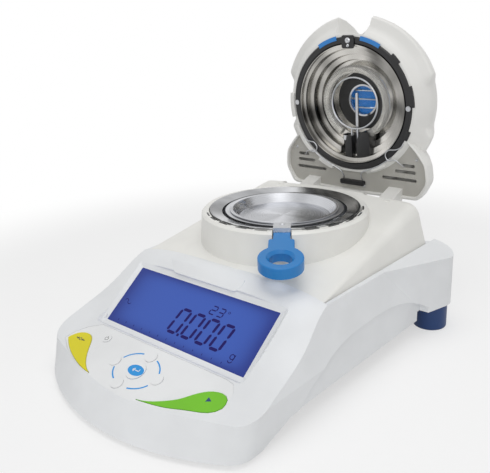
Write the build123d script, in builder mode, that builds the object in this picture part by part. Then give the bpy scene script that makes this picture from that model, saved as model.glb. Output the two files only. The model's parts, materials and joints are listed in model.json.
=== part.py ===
from build123d import *
from math import cos, radians, sin, tan
import os

# A bench moisture analyser with its heating lid open, in millimetres.
# +X is to the right of the user, +Y to the rear and +Z up.
# The origin lies on the bench, under the axis of the sample pan.

os.makedirs("parts", exist_ok=True)

# Moulded lower housing
WALL = 2.6
SHELL_SIDE = 6.4
FLOOR_THICK = 2.4
CHIN_FLOOR = 5.4
BENCH_GAP = 4.0
SIDE_BOTTOM = 16.0
WIDEST_Z = 38.0
RAIL_Z = 79.5
SEAT_DROP = 2.5
FRONT_Y = -228.0
SEAM_Y = -84.0
REAR_Y = 92.0
HALF_BOTTOM = 109.0
HALF_WIDEST = 113.5
HALF_RAIL = 103.0
RECESS_X = 109.5
CHIN_END_Y = -172.0
SIDE_START_Y = -140.0

# Crowned control panel, given by stations along Y: place, edge height, middle height
PANEL_STATIONS = (
    (SEAM_Y, RAIL_Z, 87.5),
    (-108.0, 67.8, 79.4),
    (-157.0, 43.2, 43.6),
    (-184.0, 32.9, 33.3),
    (-212.0, 22.2, 22.6),
    (-240.0, 11.4, 11.8),
)
PANEL_HALF = 135.0
PANEL_POWER = 4.5

# Display and keypad
DISPLAY_TILT = 37.0
DISPLAY_Y = -130.9
DISPLAY_Z = 57.9
GLASS_WIDTH = 157.0
GLASS_HEIGHT = 57.0
GLASS_THICK = 1.6
WINDOW_MARGIN = 3.0
KEYPAD_TILT = 20.8
KEYPAD_Y = -157.0
KEYPAD_Z = 43.0
OVERLAY_THICK = 0.6
KEY_GAP = 0.3
KEY_RISE = 0.4
KEY_DEPTH = 3.0
RING_KEY_RADIUS = 5.0
ENTER_RADIUS = 8.2
RING_CENTRE = (-3.0, -31.0)
DISPLAY_DEPTH = 8.0
KEY_BOARD_DEPTH = 6.5
SHEET_OUTLINE = (
    (-72, -6), (70, -6), (78, -7.5), (83, -14), (87, -28), (84, -34.5), (66, -42.6), (46, -49), (31, -52),
    (8, -55.5), (-15, -54.8), (-38, -52), (-50, -50.4), (-62, -47.6), (-80, -41), (-95, -32.5), (-91, -23),
    (-84, -14),
)
YELLOW_LEAF = (
    ((-92, -31), (-89, -25.6), (-83, -21), (-71, -21), (-64, -29), (-55, -41), (-46, -48), (-40, -50.4)),
    ((-40, -50.4), (-51, -49.2), (-62, -46.4), (-79, -39.6), (-92, -31)),
)
GREEN_LEAF = (
    ((18, -51.5), (30, -48), (41, -42), (50, -35.5), (55, -30), (63, -22.4), (70, -18.7), (80, -18.3),
     (84, -28)),
    ((84, -28), (81, -32.4), (64, -40), (45, -46.4), (31, -49.5), (18, -51.5)),
)
ROUND_KEYS = (
    (RING_CENTRE[0], RING_CENTRE[1], ENTER_RADIUS),
    (-28.5, -31.0, RING_KEY_RADIUS),
    (-1.4, -15.0, RING_KEY_RADIUS),
    (20.0, -30.0, RING_KEY_RADIUS),
    (-8.5, -47.0, RING_KEY_RADIUS),
    (-55.0, -16.5, 4.0),
)

# Upper housing with the chamber collar
HOOD_FRONT_HALF = 99.2
HOOD_REAR_HALF = 88.0
HOOD_REAR_Z = 117.0
HOOD_CROWN = 3.5
HOOD_CORNER = 15.0
HOOD_CLEAR = 0.3
COLLAR_RADIUS = 76.0
COLLAR_DRAFT = 2.5
COLLAR_TOP = 118.6
CHAMBER_RADIUS = 66.0
LEDGE_DEPTH = 2.6

# Heating chamber and sample pan
RING_RADIUS = 68.4
RING_TOP = 119.7
RING_INNER = 57.0
RING_FALL = 2.6
SHEET = 1.0
WELL_FLOOR = 98.0
PAN_RADIUS = 50.0
PAN_FLOOR_RADIUS = 42.0
PAN_DEPTH = 8.5
PAN_SHEET = 0.8
PAN_RIM_Z = 118.9
PAN_LIP = 2.0
SPIDER_ARM = 34.0

# Weighing cell, boards and sockets inside the lower housing
CELL_TOP = 58.0
CELL_HEIGHT = 24.0
CELL_WIDTH = 26.0
CELL_FRONT = -14.0
CELL_LENGTH = 92.0
CELL_BORE = 9.6
CELL_BORE_OFFSET = 14.0
BOARD = 1.6
MAIN_Z = 26.0
INLET_X = 58.0
PORT_X = -52.0
SOCKET_Z = 50.0

# Pan lifter
LIFTER_ANGLE = -54.3
LIFTER_WIDTH = 14.5
LIFTER_SHEET = 1.2
LIFTER_GAP = 0.4
GRIP_TILT = 10.0
GRIP_START = 70.8
GRIP_TOP = 117.6
GRIP_RING = 18.0
GRIP_HOLE = 9.0
GRIP_REACH = 39.6
GRIP_THICK = 9.5
NECK_WIDTH = 14.0
SHOULDER_WIDTH = 21.0

# Heating lid
OPEN_ANGLE = 86.2
HINGE_Y = 95.0
HINGE_Z = 101.0
LID_GAP = 2.4
LID_WALL = 2.5
BEZEL_RADIUS = 66.5
RIM_RADIUS = 74.0
DOME_RADIUS = 77.5
LID_DEPTH = 62.0
EAR_RADIUS = 85.0
EAR_PLANE = 12.0
EAR_FROM = 25.0
EAR_TO = 79.0
EAR_HEIGHT = 28.0
TAIL_SHAPE = ((60, -20), (71, -42), (79, -54), (80, -72), (68, -88))
TAIL_RIM = 5.0
TAIL_DEPTH = 40.0
REFLECTOR_RADIUS = 59.4
REFLECTOR_SHEET = 0.8
REFLECTOR_STEPS = (
    (59.4, 0), (59.4, 3), (55, 3.5), (54, 9), (49, 9.5), (48, 15), (43, 15.5), (42, 21), (36, 21.5), (35, 26),
    (29.5, 27),
)
WINDOW_RADIUS = 16.0
LAMP_RADIUS = 34.0
LAMP_TUBE = 4.0
LAMP_DEPTH = 12.0
LAMP_OPEN = 28.0
POST_X = 9.4
GUARD_RADIUS = 26.0
WIRE = 0.9
HINGE_PIN = 3.0
HINGE_RUNNING = 0.05
KNUCKLE_RADIUS = 7.5
KNUCKLE_X = 48.0
KNUCKLE_WIDTH = 15.0
CHEEK_WIDTH = 5.0
CHEEK_GAP = 0.4
POCKET_Y = 79.0
POCKET_Z = 92.0

# Levelling feet
FOOT_X = 107.2
FOOT_Y = 82.2
FOOT_RADIUS = 15.0
FOOT_HEIGHT = 24.0
LEG_RADIUS = 17.6
LEG_BOTTOM = 25.0
LEG_TOP = 76.0
STUD_RADIUS = 4.0
STUD_GAP = 0.06

# Frames of the tilted assemblies
panel_normal = Vector(0, -sin(radians(DISPLAY_TILT)), cos(radians(DISPLAY_TILT)))
DISPLAY = Plane(origin=(0, DISPLAY_Y, DISPLAY_Z), x_dir=(1, 0, 0), z_dir=panel_normal)
keypad_normal = Vector(0, -sin(radians(KEYPAD_TILT)), cos(radians(KEYPAD_TILT)))
KEYPAD = Plane(origin=(0, KEYPAD_Y, KEYPAD_Z), x_dir=(1, 0, 0), z_dir=keypad_normal)

# The lid frame sits at the mouth of the open lid: its Z points into the lid, its Y to the free edge
arm = Vector(0, -HINGE_Y, RING_TOP + LID_GAP - HINGE_Z)
swing = radians(OPEN_ANGLE)
lid_y = HINGE_Y + arm.Y * cos(swing) + arm.Z * sin(swing)
lid_z = HINGE_Z - arm.Y * sin(swing) + arm.Z * cos(swing)
LID = Plane(origin=(0, lid_y, lid_z), x_dir=(-1, 0, 0), z_dir=(0, sin(swing), cos(swing)))
HINGE_V = -HINGE_Y
HINGE_W = -(RING_TOP + LID_GAP - HINGE_Z)

# The lifter frames: radial from the pan axis, and along the sloping grip
lift = radians(LIFTER_ANGLE)
LIFTER_SIDE = Plane(origin=(0, 0, 0), x_dir=(cos(lift), sin(lift), 0), z_dir=(sin(lift), -cos(lift), 0))
dip = radians(GRIP_TILT)
GRIP = Plane(
    origin=(GRIP_START * cos(lift), GRIP_START * sin(lift), GRIP_TOP),
    x_dir=(cos(dip) * cos(lift), cos(dip) * sin(lift), -sin(dip)),
    z_dir=(sin(dip) * cos(lift), sin(dip) * sin(lift), cos(dip)),
)


def plan_outline(half, apex, corner_y, corner, rear):
    """The housing seen from above: a bowed front, round corners and a straight rear."""
    with BuildSketch() as outline:
        with BuildLine():
            ThreePointArc((-half, corner_y), (0, apex), (half, corner_y))
            Polyline((half, corner_y), (half, rear), (-half, rear), (-half, corner_y))
        make_face()
        fillet(outline.vertices().group_by(Axis.Y)[0], corner)
    return outline.sketch


def crown_outline(edge_z, middle_z, top):
    """The space over the panel at one station: a lower edge with full shoulders and a flat top."""
    marks = (-1, -HALF_RAIL / PANEL_HALF, -0.5, 0, 0.5, HALF_RAIL / PANEL_HALF, 1)
    crown = []
    for mark in marks:
        fall = abs(mark * PANEL_HALF / HALF_RAIL) ** PANEL_POWER
        crown.append((mark * PANEL_HALF, middle_z - (middle_z - edge_z) * fall))
    with BuildSketch() as outline:
        with BuildLine():
            Spline(*crown)
            Polyline(crown[-1], (PANEL_HALF, top), (-PANEL_HALF, top), crown[0])
        make_face()
    return outline.sketch


def hood_outline(bottom, half_bottom, half_top, side_z, middle_z, corner):
    """One cross-section of the upper housing, with its top edges rounded."""
    with BuildSketch() as outline:
        with BuildLine():
            Polyline((-half_top, side_z), (-half_bottom, bottom), (half_bottom, bottom), (half_top, side_z))
            ThreePointArc((half_top, side_z), (0, middle_z), (-half_top, side_z))
        make_face()
        fillet(outline.vertices().sort_by(Axis.Y)[-2:], corner)
    return outline.sketch


def closed_profile(*points):
    """A flat profile with straight sides, for turned and extruded pieces."""
    with BuildSketch() as outline:
        with BuildLine():
            Polyline(*points, close=True)
        make_face()
    return outline.sketch


def leaf_outline(leaf, grow=0.0):
    """A leaf-shaped key between two smooth curves that meet in points."""
    rim = []
    for curve, steps in zip(leaf, (22, 14)):
        edge = Edge.make_spline([Vector(x, v) for x, v in curve])
        rim += [edge @ (step / steps) for step in range(steps)]
    with BuildSketch() as outline:
        with BuildLine():
            Polyline(*rim, close=True)
        make_face()
        if grow:
            offset(amount=grow)
    return outline.sketch


def tail_outline(shrink, inset=0.0):
    """The tail of the lid seen from its mouth, drawn in by a share and by a wall."""
    corners = []
    for x, v in TAIL_SHAPE:
        corners.append((x * (1 - shrink) - inset, v * (1 - shrink * 0.6) + (inset if v < -80 else 0)))
    mirrored = [(-x, v) for x, v in reversed(corners)]
    return closed_profile(*corners, (0, -92 * (1 - shrink * 0.6) + inset), *mirrored)


# Space above the panel, and the same space lowered by the wall for the inside
with BuildPart() as roof:
    for y, edge_z, middle_z in PANEL_STATIONS:
        with BuildSketch(Plane.XZ.offset(-y)):
            add(crown_outline(edge_z, middle_z, 150))
    loft()

# Hollow of the lower housing, leaving columns for the studs of the levelling feet
with BuildPart() as hollow:
    with BuildSketch(Plane.XY.offset(-1)):
        add(plan_outline(HALF_BOTTOM - SHELL_SIDE + 1, FRONT_Y + 7, -186, 16, REAR_Y - WALL))
    with BuildSketch(Plane.XY.offset(WIDEST_Z)):
        add(plan_outline(HALF_WIDEST - SHELL_SIDE, -192, -180, 12, REAR_Y - WALL))
    with BuildSketch(Plane.XY.offset(RAIL_Z + 12)):
        add(plan_outline(HALF_RAIL - SHELL_SIDE, -160, -150, 8, REAR_Y - WALL))
    loft(ruled=True)
    add(roof.part.moved(Location((0, 0, -WALL * 1.15))), mode=Mode.SUBTRACT)
    with BuildSketch(Plane.XY.offset(RAIL_Z - SEAT_DROP - WALL)):
        with Locations((0, (SEAM_Y - WALL + 100) / 2)):
            Rectangle(260, 100 - SEAM_Y + WALL)
    extrude(amount=60, mode=Mode.SUBTRACT)
    with BuildSketch(Plane.XY.offset(-2)):
        with Locations((FOOT_X, FOOT_Y), (-FOOT_X, FOOT_Y)):
            Circle(STUD_RADIUS + 6)
    extrude(amount=100, mode=Mode.SUBTRACT)

# Lower housing: panel, sides, rail, arches and rear legs in one moulding
with BuildPart() as base_cover:
    with BuildSketch(Plane.XY.offset(BENCH_GAP)):
        add(plan_outline(HALF_BOTTOM, FRONT_Y, -192.5, 20, REAR_Y))
    with BuildSketch(Plane.XY.offset(WIDEST_Z)):
        add(plan_outline(HALF_WIDEST, -196.5, -187, 16, REAR_Y))
    with BuildSketch(Plane.XY.offset(RAIL_Z + 12)):
        add(plan_outline(HALF_RAIL - 3, -158, -150, 12, REAR_Y))
    loft(ruled=True)
    add(roof.part, mode=Mode.SUBTRACT)
    # flat rail behind the seam
    with BuildSketch(Plane.XY.offset(RAIL_Z)):
        with Locations((0, (SEAM_Y + 110) / 2)):
            Rectangle(260, 110 - SEAM_Y)
    extrude(amount=60, mode=Mode.SUBTRACT)
    # rear legs, blended into the sides
    for side in (-1, 1):
        with BuildSketch(Plane.XY.offset(LEG_BOTTOM)):
            with Locations((side * FOOT_X, FOOT_Y)):
                Circle(LEG_RADIUS)
            with Locations((side * (HALF_RAIL - 9), 42)):
                Rectangle(16, 96)
            make_hull()
        extrude(amount=LEG_TOP - LEG_BOTTOM + 6)
        with BuildSketch(Plane.XZ.offset(-120)):
            with BuildLine():
                Polyline(
                    (side * (HALF_RAIL - 6), RAIL_Z + 1),
                    (side * (FOOT_X + LEG_RADIUS + 2), LEG_TOP - 5),
                    (side * (FOOT_X + LEG_RADIUS + 2), 100),
                    (side * (HALF_RAIL - 6), 100),
                    close=True,
                )
            make_face()
        extrude(amount=160, mode=Mode.SUBTRACT)
    # seat of the upper housing, inside the rail
    with BuildSketch(Plane.XY.offset(RAIL_Z - SEAT_DROP)):
        with Locations((0, (SEAM_Y + 110) / 2)):
            Rectangle(2 * (HOOD_FRONT_HALF + 1), 110 - SEAM_Y)
    extrude(amount=60, mode=Mode.SUBTRACT)
    # arched recess along the lower side, under the swept wing
    for side in (-1, 1):
        with BuildSketch(Plane.YZ.offset(side * (RECESS_X + 12))):
            with BuildLine():
                Spline((-131, SIDE_BOTTOM - 1), (-91, 43), (-33, 49.5), (16, 46), (55, 30))
                Polyline((55, 30), (55, 0), (-131, 0), (-131, SIDE_BOTTOM - 1))
            make_face()
        extrude(amount=-side * 12, mode=Mode.SUBTRACT)
    # raised lower edge behind the chin
    with BuildSketch(Plane.YZ.offset(-130)):
        with BuildLine():
            Polyline((CHIN_END_Y, 0), (CHIN_END_Y, BENCH_GAP), (SIDE_START_Y, SIDE_BOTTOM),
                     (120, SIDE_BOTTOM), (120, 0), close=True)
        make_face()
    extrude(amount=260, mode=Mode.SUBTRACT)
    # open corners around the levelling feet
    for side in (-1, 1):
        with BuildSketch():
            with Locations((side * 112, 77)):
                Rectangle(52, 52)
        extrude(amount=LEG_BOTTOM, mode=Mode.SUBTRACT)
    add(hollow.part, mode=Mode.SUBTRACT)
    # bores for the studs of the levelling feet
    with BuildSketch(Plane.XY.offset(LEG_BOTTOM - 1)):
        with Locations((FOOT_X, FOOT_Y), (-FOOT_X, FOOT_Y)):
            Circle(STUD_RADIUS + STUD_GAP)
    extrude(amount=24, mode=Mode.SUBTRACT)
    # opening of the deck under the upper housing
    with BuildSketch(Plane.XY.offset(RAIL_Z - 12)):
        with Locations((0, 4)):
            RectangleRounded(180, 160, 10)
    extrude(amount=12, mode=Mode.SUBTRACT)
    # display well through the panel, with a wide bevel round it
    with BuildSketch(DISPLAY.offset(-14)):
        RectangleRounded(GLASS_WIDTH, GLASS_HEIGHT, 1.2)
    extrude(amount=40, mode=Mode.SUBTRACT)
    with BuildSketch(DISPLAY):
        RectangleRounded(GLASS_WIDTH + 2 * WINDOW_MARGIN, GLASS_HEIGHT + 2 * WINDOW_MARGIN, 2)
    extrude(amount=20, taper=-30, mode=Mode.SUBTRACT)
    # pocket for the keypad sheet, with the key openings through its floor
    with BuildSketch(KEYPAD.offset(-OVERLAY_THICK)):
        add(closed_profile(*SHEET_OUTLINE))
        offset(amount=0.15)
    extrude(amount=8, mode=Mode.SUBTRACT)
    with BuildSketch(KEYPAD.offset(-14)):
        for leaf in (YELLOW_LEAF, GREEN_LEAF):
            add(leaf_outline(leaf, KEY_GAP))
        for x, v, radius in ROUND_KEYS:
            with Locations((x, v)):
                Circle(radius + KEY_GAP)
    extrude(amount=20, mode=Mode.SUBTRACT)
    # posts under the panel for the display board and the key board
    for v, reach in ((26, 7), (-26, 9.5)):
        with BuildSketch(DISPLAY.offset(-DISPLAY_DEPTH)):
            with Locations((GLASS_WIDTH / 2 + 4, v), (-GLASS_WIDTH / 2 - 4, v)):
                Circle(3)
        extrude(amount=reach)
    with BuildSketch(KEYPAD.offset(-KEY_BOARD_DEPTH)):
        with Locations((-42, -16), (44, -16), (-30, -42), (10, -44)):
            Circle(2.5)
    extrude(amount=KEY_BOARD_DEPTH - OVERLAY_THICK - 0.8)
    # openings in the rear wall for the sockets and the vents
    with BuildSketch(Plane.XZ.offset(-REAR_Y - 1)):
        with Locations((INLET_X, SOCKET_Z)):
            Rectangle(28.4, 21.4)
        with Locations((PORT_X, SOCKET_Z)):
            Rectangle(31, 12.6)
        with Locations((2, SOCKET_Z)):
            with GridLocations(0, 6, 1, 5):
                SlotOverall(44, 2.6)
    extrude(amount=WALL + 4, mode=Mode.SUBTRACT)
base_cover.part.label = "base_cover"
export_step(base_cover.part, "parts/base_cover.step")

# Bottom tray: a low floor in the chin, a ramp and the rear floor
with BuildPart() as base_tray:
    with BuildSketch(Plane.YZ.offset(-HALF_BOTTOM)):
        rise = SIDE_BOTTOM + 1
        add(
            closed_profile(
                (FRONT_Y, CHIN_FLOOR),
                (CHIN_END_Y, CHIN_FLOOR),
                (SIDE_START_Y, rise),
                (REAR_Y, rise),
                (REAR_Y, rise + FLOOR_THICK),
                (SIDE_START_Y, rise + FLOOR_THICK),
                (CHIN_END_Y, CHIN_FLOOR + FLOOR_THICK),
                (FRONT_Y, CHIN_FLOOR + FLOOR_THICK),
            )
        )
    extrude(amount=2 * HALF_BOTTOM)
    with BuildSketch(Plane.XY.offset(-1)):
        add(plan_outline(HALF_BOTTOM - SHELL_SIDE + 0.6, FRONT_Y + 15.5, -180, 14, REAR_Y - WALL - 0.4))
    extrude(amount=60, mode=Mode.INTERSECT)
    with BuildSketch():
        with Locations((112, 77), (-112, 77)):
            Rectangle(52.8, 52.8)
    extrude(amount=60, mode=Mode.SUBTRACT)
    # stiffening ribs and the pads for the front feet
    with BuildSketch(Plane.XY.offset(rise + FLOOR_THICK)):
        with GridLocations(0, 56, 1, 2):
            with Locations((-30, -90)):
                Rectangle(110, 2)
    extrude(amount=4)
    with BuildSketch(Plane.XY.offset(rise)):
        with GridLocations(150, 150, 2, 2):
            with Locations((0, -38)):
                Circle(1.7)
    extrude(amount=20, both=True, mode=Mode.SUBTRACT)
base_tray.part.label = "base_tray"
export_step(base_tray.part, "parts/base_tray.step")

# Upper housing: crowned and drafted, with the collar of the heating chamber
hood_bottom = RAIL_Z - SEAT_DROP
hood_front = SEAM_Y + HOOD_CLEAR
pocket_width = KNUCKLE_WIDTH + 2 * (CHEEK_WIDTH + CHEEK_GAP) + 1.2
with BuildPart() as hood_hollow:
    for y, half, side_z, middle_z, corner in (
        (hood_front + 9, HOOD_FRONT_HALF - 2 * WALL, RAIL_Z - 2, 86.0, 0.6),
        (REAR_Y - 9, HOOD_REAR_HALF - WALL, HOOD_REAR_Z - WALL, HOOD_REAR_Z + HOOD_CROWN - WALL,
         HOOD_CORNER - WALL),
    ):
        with BuildSketch(Plane.XZ.offset(-y)):
            add(hood_outline(hood_bottom - 1, HOOD_FRONT_HALF - 2 * WALL, half, side_z, middle_z, corner))
    loft()
    Cylinder(COLLAR_RADIUS, 300, mode=Mode.SUBTRACT)
with BuildPart() as upper_housing:
    for y, half, side_z, middle_z, corner in (
        (hood_front, HOOD_FRONT_HALF, RAIL_Z, 87.5, 1.2),
        (REAR_Y - 1, HOOD_REAR_HALF, HOOD_REAR_Z, HOOD_REAR_Z + HOOD_CROWN, HOOD_CORNER),
    ):
        with BuildSketch(Plane.XZ.offset(-y)):
            add(hood_outline(hood_bottom, HOOD_FRONT_HALF, half, side_z, middle_z, corner))
    loft()
    rear_rim = upper_housing.faces().sort_by(Axis.Y)[-1].edges().filter_by(
        lambda edge: edge.center().Z > hood_bottom + 25
    )
    fillet(rear_rim, 10)
    with BuildSketch(Plane.XZ):
        add(
            closed_profile(
                (0, hood_bottom),
                (COLLAR_RADIUS + COLLAR_DRAFT, hood_bottom),
                (COLLAR_RADIUS, COLLAR_TOP - 2),
                (COLLAR_RADIUS - 2, COLLAR_TOP),
                (0, COLLAR_TOP),
            )
        )
    revolve(axis=Axis.Z)
    add(hood_hollow.part, mode=Mode.SUBTRACT)
    # blocks with the hinge pockets at the rear top
    with BuildSketch(Plane.XY.offset(POCKET_Z - 4)):
        with Locations((KNUCKLE_X, 80.5), (-KNUCKLE_X, 80.5)):
            Rectangle(pocket_width + 6, 11)
    extrude(amount=HOOD_REAR_Z - POCKET_Z + 3)
    with BuildSketch(Plane.XY.offset(POCKET_Z)):
        with Locations((KNUCKLE_X, POCKET_Y + 20), (-KNUCKLE_X, POCKET_Y + 20)):
            Rectangle(pocket_width, 40)
    extrude(amount=40, mode=Mode.SUBTRACT)
    with Locations((0, 0, 100)):
        Cylinder(CHAMBER_RADIUS, 60, mode=Mode.SUBTRACT)
    with BuildSketch(Plane.XY.offset(RING_TOP - LEDGE_DEPTH - SHEET)):
        Circle(RING_RADIUS + 0.8)
    extrude(amount=60, mode=Mode.SUBTRACT)
    # dark air slots between the ring and the lip of the collar
    with BuildSketch(Plane.XY.offset(COLLAR_TOP - 8)):
        for start in (-119, -105, -86, -40, -20, 0, 20):
            with BuildLine(mode=Mode.PRIVATE) as slot:
                CenterArc((0, 0), RING_RADIUS + 0.9, start, 11)
            SlotArc(slot.edge(), 2.4)
    extrude(amount=20, mode=Mode.SUBTRACT)
    # notch for the neck of the lifter
    with BuildSketch(LIFTER_SIDE):
        with Locations(((GRIP_START + 90) / 2 - 2, 125)):
            Rectangle(90 - GRIP_START, 2 * (125 - GRIP_TOP + GRIP_THICK + 2.6))
    extrude(amount=NECK_WIDTH / 2 + 1.0, both=True, mode=Mode.SUBTRACT)
upper_housing.part.label = "upper_housing"
export_step(upper_housing.part, "parts/upper_housing.step")

# Heating chamber: flange ring, spun well and its insulated floor
with BuildPart() as chamber_ring:
    with BuildSketch(Plane.XZ):
        add(
            closed_profile(
                (RING_RADIUS, RING_TOP),
                (RING_RADIUS - 1.5, RING_TOP),
                (RING_INNER, RING_TOP - RING_FALL),
                (RING_INNER, RING_TOP - RING_FALL - SHEET),
                (RING_RADIUS - 1.5 - SHEET, RING_TOP - SHEET),
                (RING_RADIUS - SHEET, RING_TOP - LEDGE_DEPTH),
                (RING_RADIUS, RING_TOP - LEDGE_DEPTH),
            )
        )
    revolve(axis=Axis.Z)
chamber_ring.part.label = "chamber_ring"
export_step(chamber_ring.part, "parts/chamber_ring.step")

well_top = RING_TOP - RING_FALL - SHEET
well_radius = RING_INNER + 1.4
with BuildPart() as chamber_well:
    with BuildSketch(Plane.XZ):
        add(
            closed_profile(
                (RING_RADIUS, well_top + SHEET - 0.05),
                (RING_INNER + 4.5, well_top + SHEET - 0.05),
                (well_radius - SHEET, well_top - 0.6),
                (well_radius - SHEET - 2, WELL_FLOOR + 3),
                (well_radius - SHEET - 6, WELL_FLOOR),
                (9, WELL_FLOOR),
                (9, WELL_FLOOR - SHEET),
                (well_radius - 6, WELL_FLOOR - SHEET),
                (well_radius - 2, WELL_FLOOR + 2.4),
                (well_radius, well_top - 1.2),
                (RING_INNER + 4.6, well_top),
                (RING_RADIUS, well_top),
            )
        )
    revolve(axis=Axis.Z)
chamber_well.part.label = "chamber_well"
export_step(chamber_well.part, "parts/chamber_well.step")

with BuildPart() as well_insulator:
    with BuildSketch(Plane.XY.offset(WELL_FLOOR - SHEET - 6)):
        Circle(well_radius - 7)
        Circle(10, mode=Mode.SUBTRACT)
    extrude(amount=6)
well_insulator.part.label = "well_insulator"
export_step(well_insulator.part, "parts/well_insulator.step")

# Sample pan: pressed dish with a flat lip
pan_floor = PAN_RIM_Z - PAN_DEPTH
with BuildPart() as sample_pan:
    with BuildSketch(Plane.XZ):
        add(
            closed_profile(
                (0, pan_floor),
                (PAN_FLOOR_RADIUS, pan_floor),
                (PAN_RADIUS - PAN_LIP - 0.4, PAN_RIM_Z - PAN_SHEET),
                (PAN_RADIUS, PAN_RIM_Z - PAN_SHEET),
                (PAN_RADIUS, PAN_RIM_Z),
                (PAN_RADIUS - PAN_LIP - 0.9, PAN_RIM_Z),
                (PAN_FLOOR_RADIUS - 0.5, pan_floor + PAN_SHEET),
                (0, pan_floor + PAN_SHEET),
            )
        )
    revolve(axis=Axis.Z)
sample_pan.part.label = "sample_pan"
export_step(sample_pan.part, "parts/sample_pan.step")

# Spider that carries the pan on the weighing cell
with BuildPart() as pan_support:
    with BuildSketch(Plane.XY.offset(WELL_FLOOR + 3)):
        Circle(9)
        with PolarLocations(SPIDER_ARM / 2, 3, 30):
            Rectangle(SPIDER_ARM, 5)
        with PolarLocations(SPIDER_ARM, 3, 30):
            Circle(4)
    extrude(amount=4)
    with BuildSketch(Plane.XY.offset(WELL_FLOOR + 7)):
        with PolarLocations(SPIDER_ARM, 3, 30):
            Circle(3)
    extrude(amount=pan_floor - WELL_FLOOR - 7)
    with BuildSketch(Plane.XY.offset(WELL_FLOOR - 14)):
        Circle(6)
    extrude(amount=17)
    with BuildSketch(Plane.XY.offset(WELL_FLOOR - 14)):
        Circle(3)
    extrude(amount=14, mode=Mode.SUBTRACT)
pan_support.part.label = "pan_support"
export_step(pan_support.part, "parts/pan_support.step")

# Weighing cell: a machined bar with flexures, held at its rear end
cell_middle = CELL_FRONT + CELL_LENGTH / 2
with BuildPart() as load_cell:
    with BuildSketch(Plane.YZ.offset(-CELL_WIDTH / 2)):
        with Locations((cell_middle, CELL_TOP - CELL_HEIGHT / 2)):
            Rectangle(CELL_LENGTH, CELL_HEIGHT)
        with Locations((cell_middle, CELL_TOP - CELL_HEIGHT / 2)):
            with GridLocations(2 * CELL_BORE_OFFSET, 0, 2, 1):
                Circle(CELL_BORE, mode=Mode.SUBTRACT)
        with Locations((cell_middle, CELL_TOP - CELL_HEIGHT / 2)):
            Rectangle(2 * CELL_BORE_OFFSET, 8, mode=Mode.SUBTRACT)
    extrude(amount=CELL_WIDTH)
load_cell.part.label = "load_cell"
export_step(load_cell.part, "parts/load_cell.step")

with BuildPart() as cell_stem:
    with BuildSketch(Plane.XY.offset(CELL_TOP)):
        Circle(8)
    extrude(amount=5)
    with BuildSketch(Plane.XY.offset(CELL_TOP + 5)):
        Circle(3)
    extrude(amount=WELL_FLOOR - CELL_TOP - 5)
cell_stem.part.label = "cell_stem"
export_step(cell_stem.part, "parts/cell_stem.step")

cell_foot = rise + FLOOR_THICK
with BuildPart() as cell_mount:
    with BuildSketch(Plane.XY.offset(cell_foot)):
        with Locations((0, CELL_FRONT + CELL_LENGTH - 13)):
            RectangleRounded(44, 26, 3)
    extrude(amount=CELL_TOP - CELL_HEIGHT - cell_foot)
    chamfer(cell_mount.edges().filter_by(Axis.X).sort_by(Axis.Z)[-2:], 1)
cell_mount.part.label = "cell_mount"
export_step(cell_mount.part, "parts/cell_mount.step")

# Pan lifter: steel ring with a cranked arm, and its moulded grip outside the collar
ring_z = PAN_RIM_Z - PAN_SHEET - LIFTER_GAP
with BuildPart() as lifter_frame:
    with BuildSketch(Plane.XY.offset(ring_z - LIFTER_SHEET)):
        Circle(PAN_RADIUS + 4)
        Circle(PAN_RADIUS - PAN_LIP + 0.4, mode=Mode.SUBTRACT)
    extrude(amount=LIFTER_SHEET)
    with BuildSketch(LIFTER_SIDE):
        step = RING_TOP + 0.3
        add(
            closed_profile(
                (PAN_RADIUS + 1, ring_z - LIFTER_SHEET),
                (PAN_RADIUS + 3.4, ring_z - LIFTER_SHEET),
                (RING_INNER - 0.6, step),
                (GRIP_START - LIFTER_SHEET - 0.6, step),
                (GRIP_START - LIFTER_SHEET - 0.2, GRIP_TOP - 4.4),
                (GRIP_START + 7, GRIP_TOP - 4.4 - 7 * tan(dip)),
                (GRIP_START + 7, GRIP_TOP - 3.2 - 7 * tan(dip)),
                (GRIP_START, GRIP_TOP - 3.2),
                (GRIP_START - 0.2, step + LIFTER_SHEET),
                (RING_INNER - 1.2, step + LIFTER_SHEET),
                (PAN_RADIUS + 2.8, ring_z),
                (PAN_RADIUS + 1, ring_z),
            )
        )
    extrude(amount=LIFTER_WIDTH / 2, both=True)
lifter_frame.part.label = "lifter_frame"
export_step(lifter_frame.part, "parts/lifter_frame.step")

with BuildPart() as lifter_grip:
    with BuildSketch(GRIP.offset(-GRIP_THICK)):
        with Locations((8, 0)):
            Rectangle(16, NECK_WIDTH)
        with Locations((21, 0)):
            RectangleRounded(20, SHOULDER_WIDTH, 2)
        with Locations((GRIP_REACH, 0)):
            Circle(GRIP_RING)
            Circle(GRIP_HOLE, mode=Mode.SUBTRACT)
    extrude(amount=GRIP_THICK)
    tops = lifter_grip.faces().sort_by(Axis((0, 0, 0), GRIP.z_dir))[-1]
    chamfer(tops.inner_wires()[0].edges(), 2.4)
    fillet(tops.outer_wire().edges(), 0.9)
    add(lifter_frame.part, mode=Mode.SUBTRACT)
lifter_grip.part.label = "lifter_grip"
export_step(lifter_grip.part, "parts/lifter_grip.step")

with BuildPart() as lifter_rivet:
    with BuildSketch(Plane(origin=(58.6 * cos(lift), 58.6 * sin(lift), RING_TOP + 0.3 + LIFTER_SHEET))):
        Circle(2.6)
    extrude(amount=0.6, taper=30)
lifter_rivet.part.label = "lifter_rivet"
export_step(lifter_rivet.part, "parts/lifter_rivet.step")

# Display: glass in the well, module behind it and the board that carries it
with BuildPart() as display_window:
    with BuildSketch(DISPLAY.offset(-GLASS_THICK)):
        RectangleRounded(GLASS_WIDTH - 0.4, GLASS_HEIGHT - 0.4, 1)
    extrude(amount=GLASS_THICK)
display_window.part.label = "display_window"
export_step(display_window.part, "parts/display_window.step")

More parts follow.
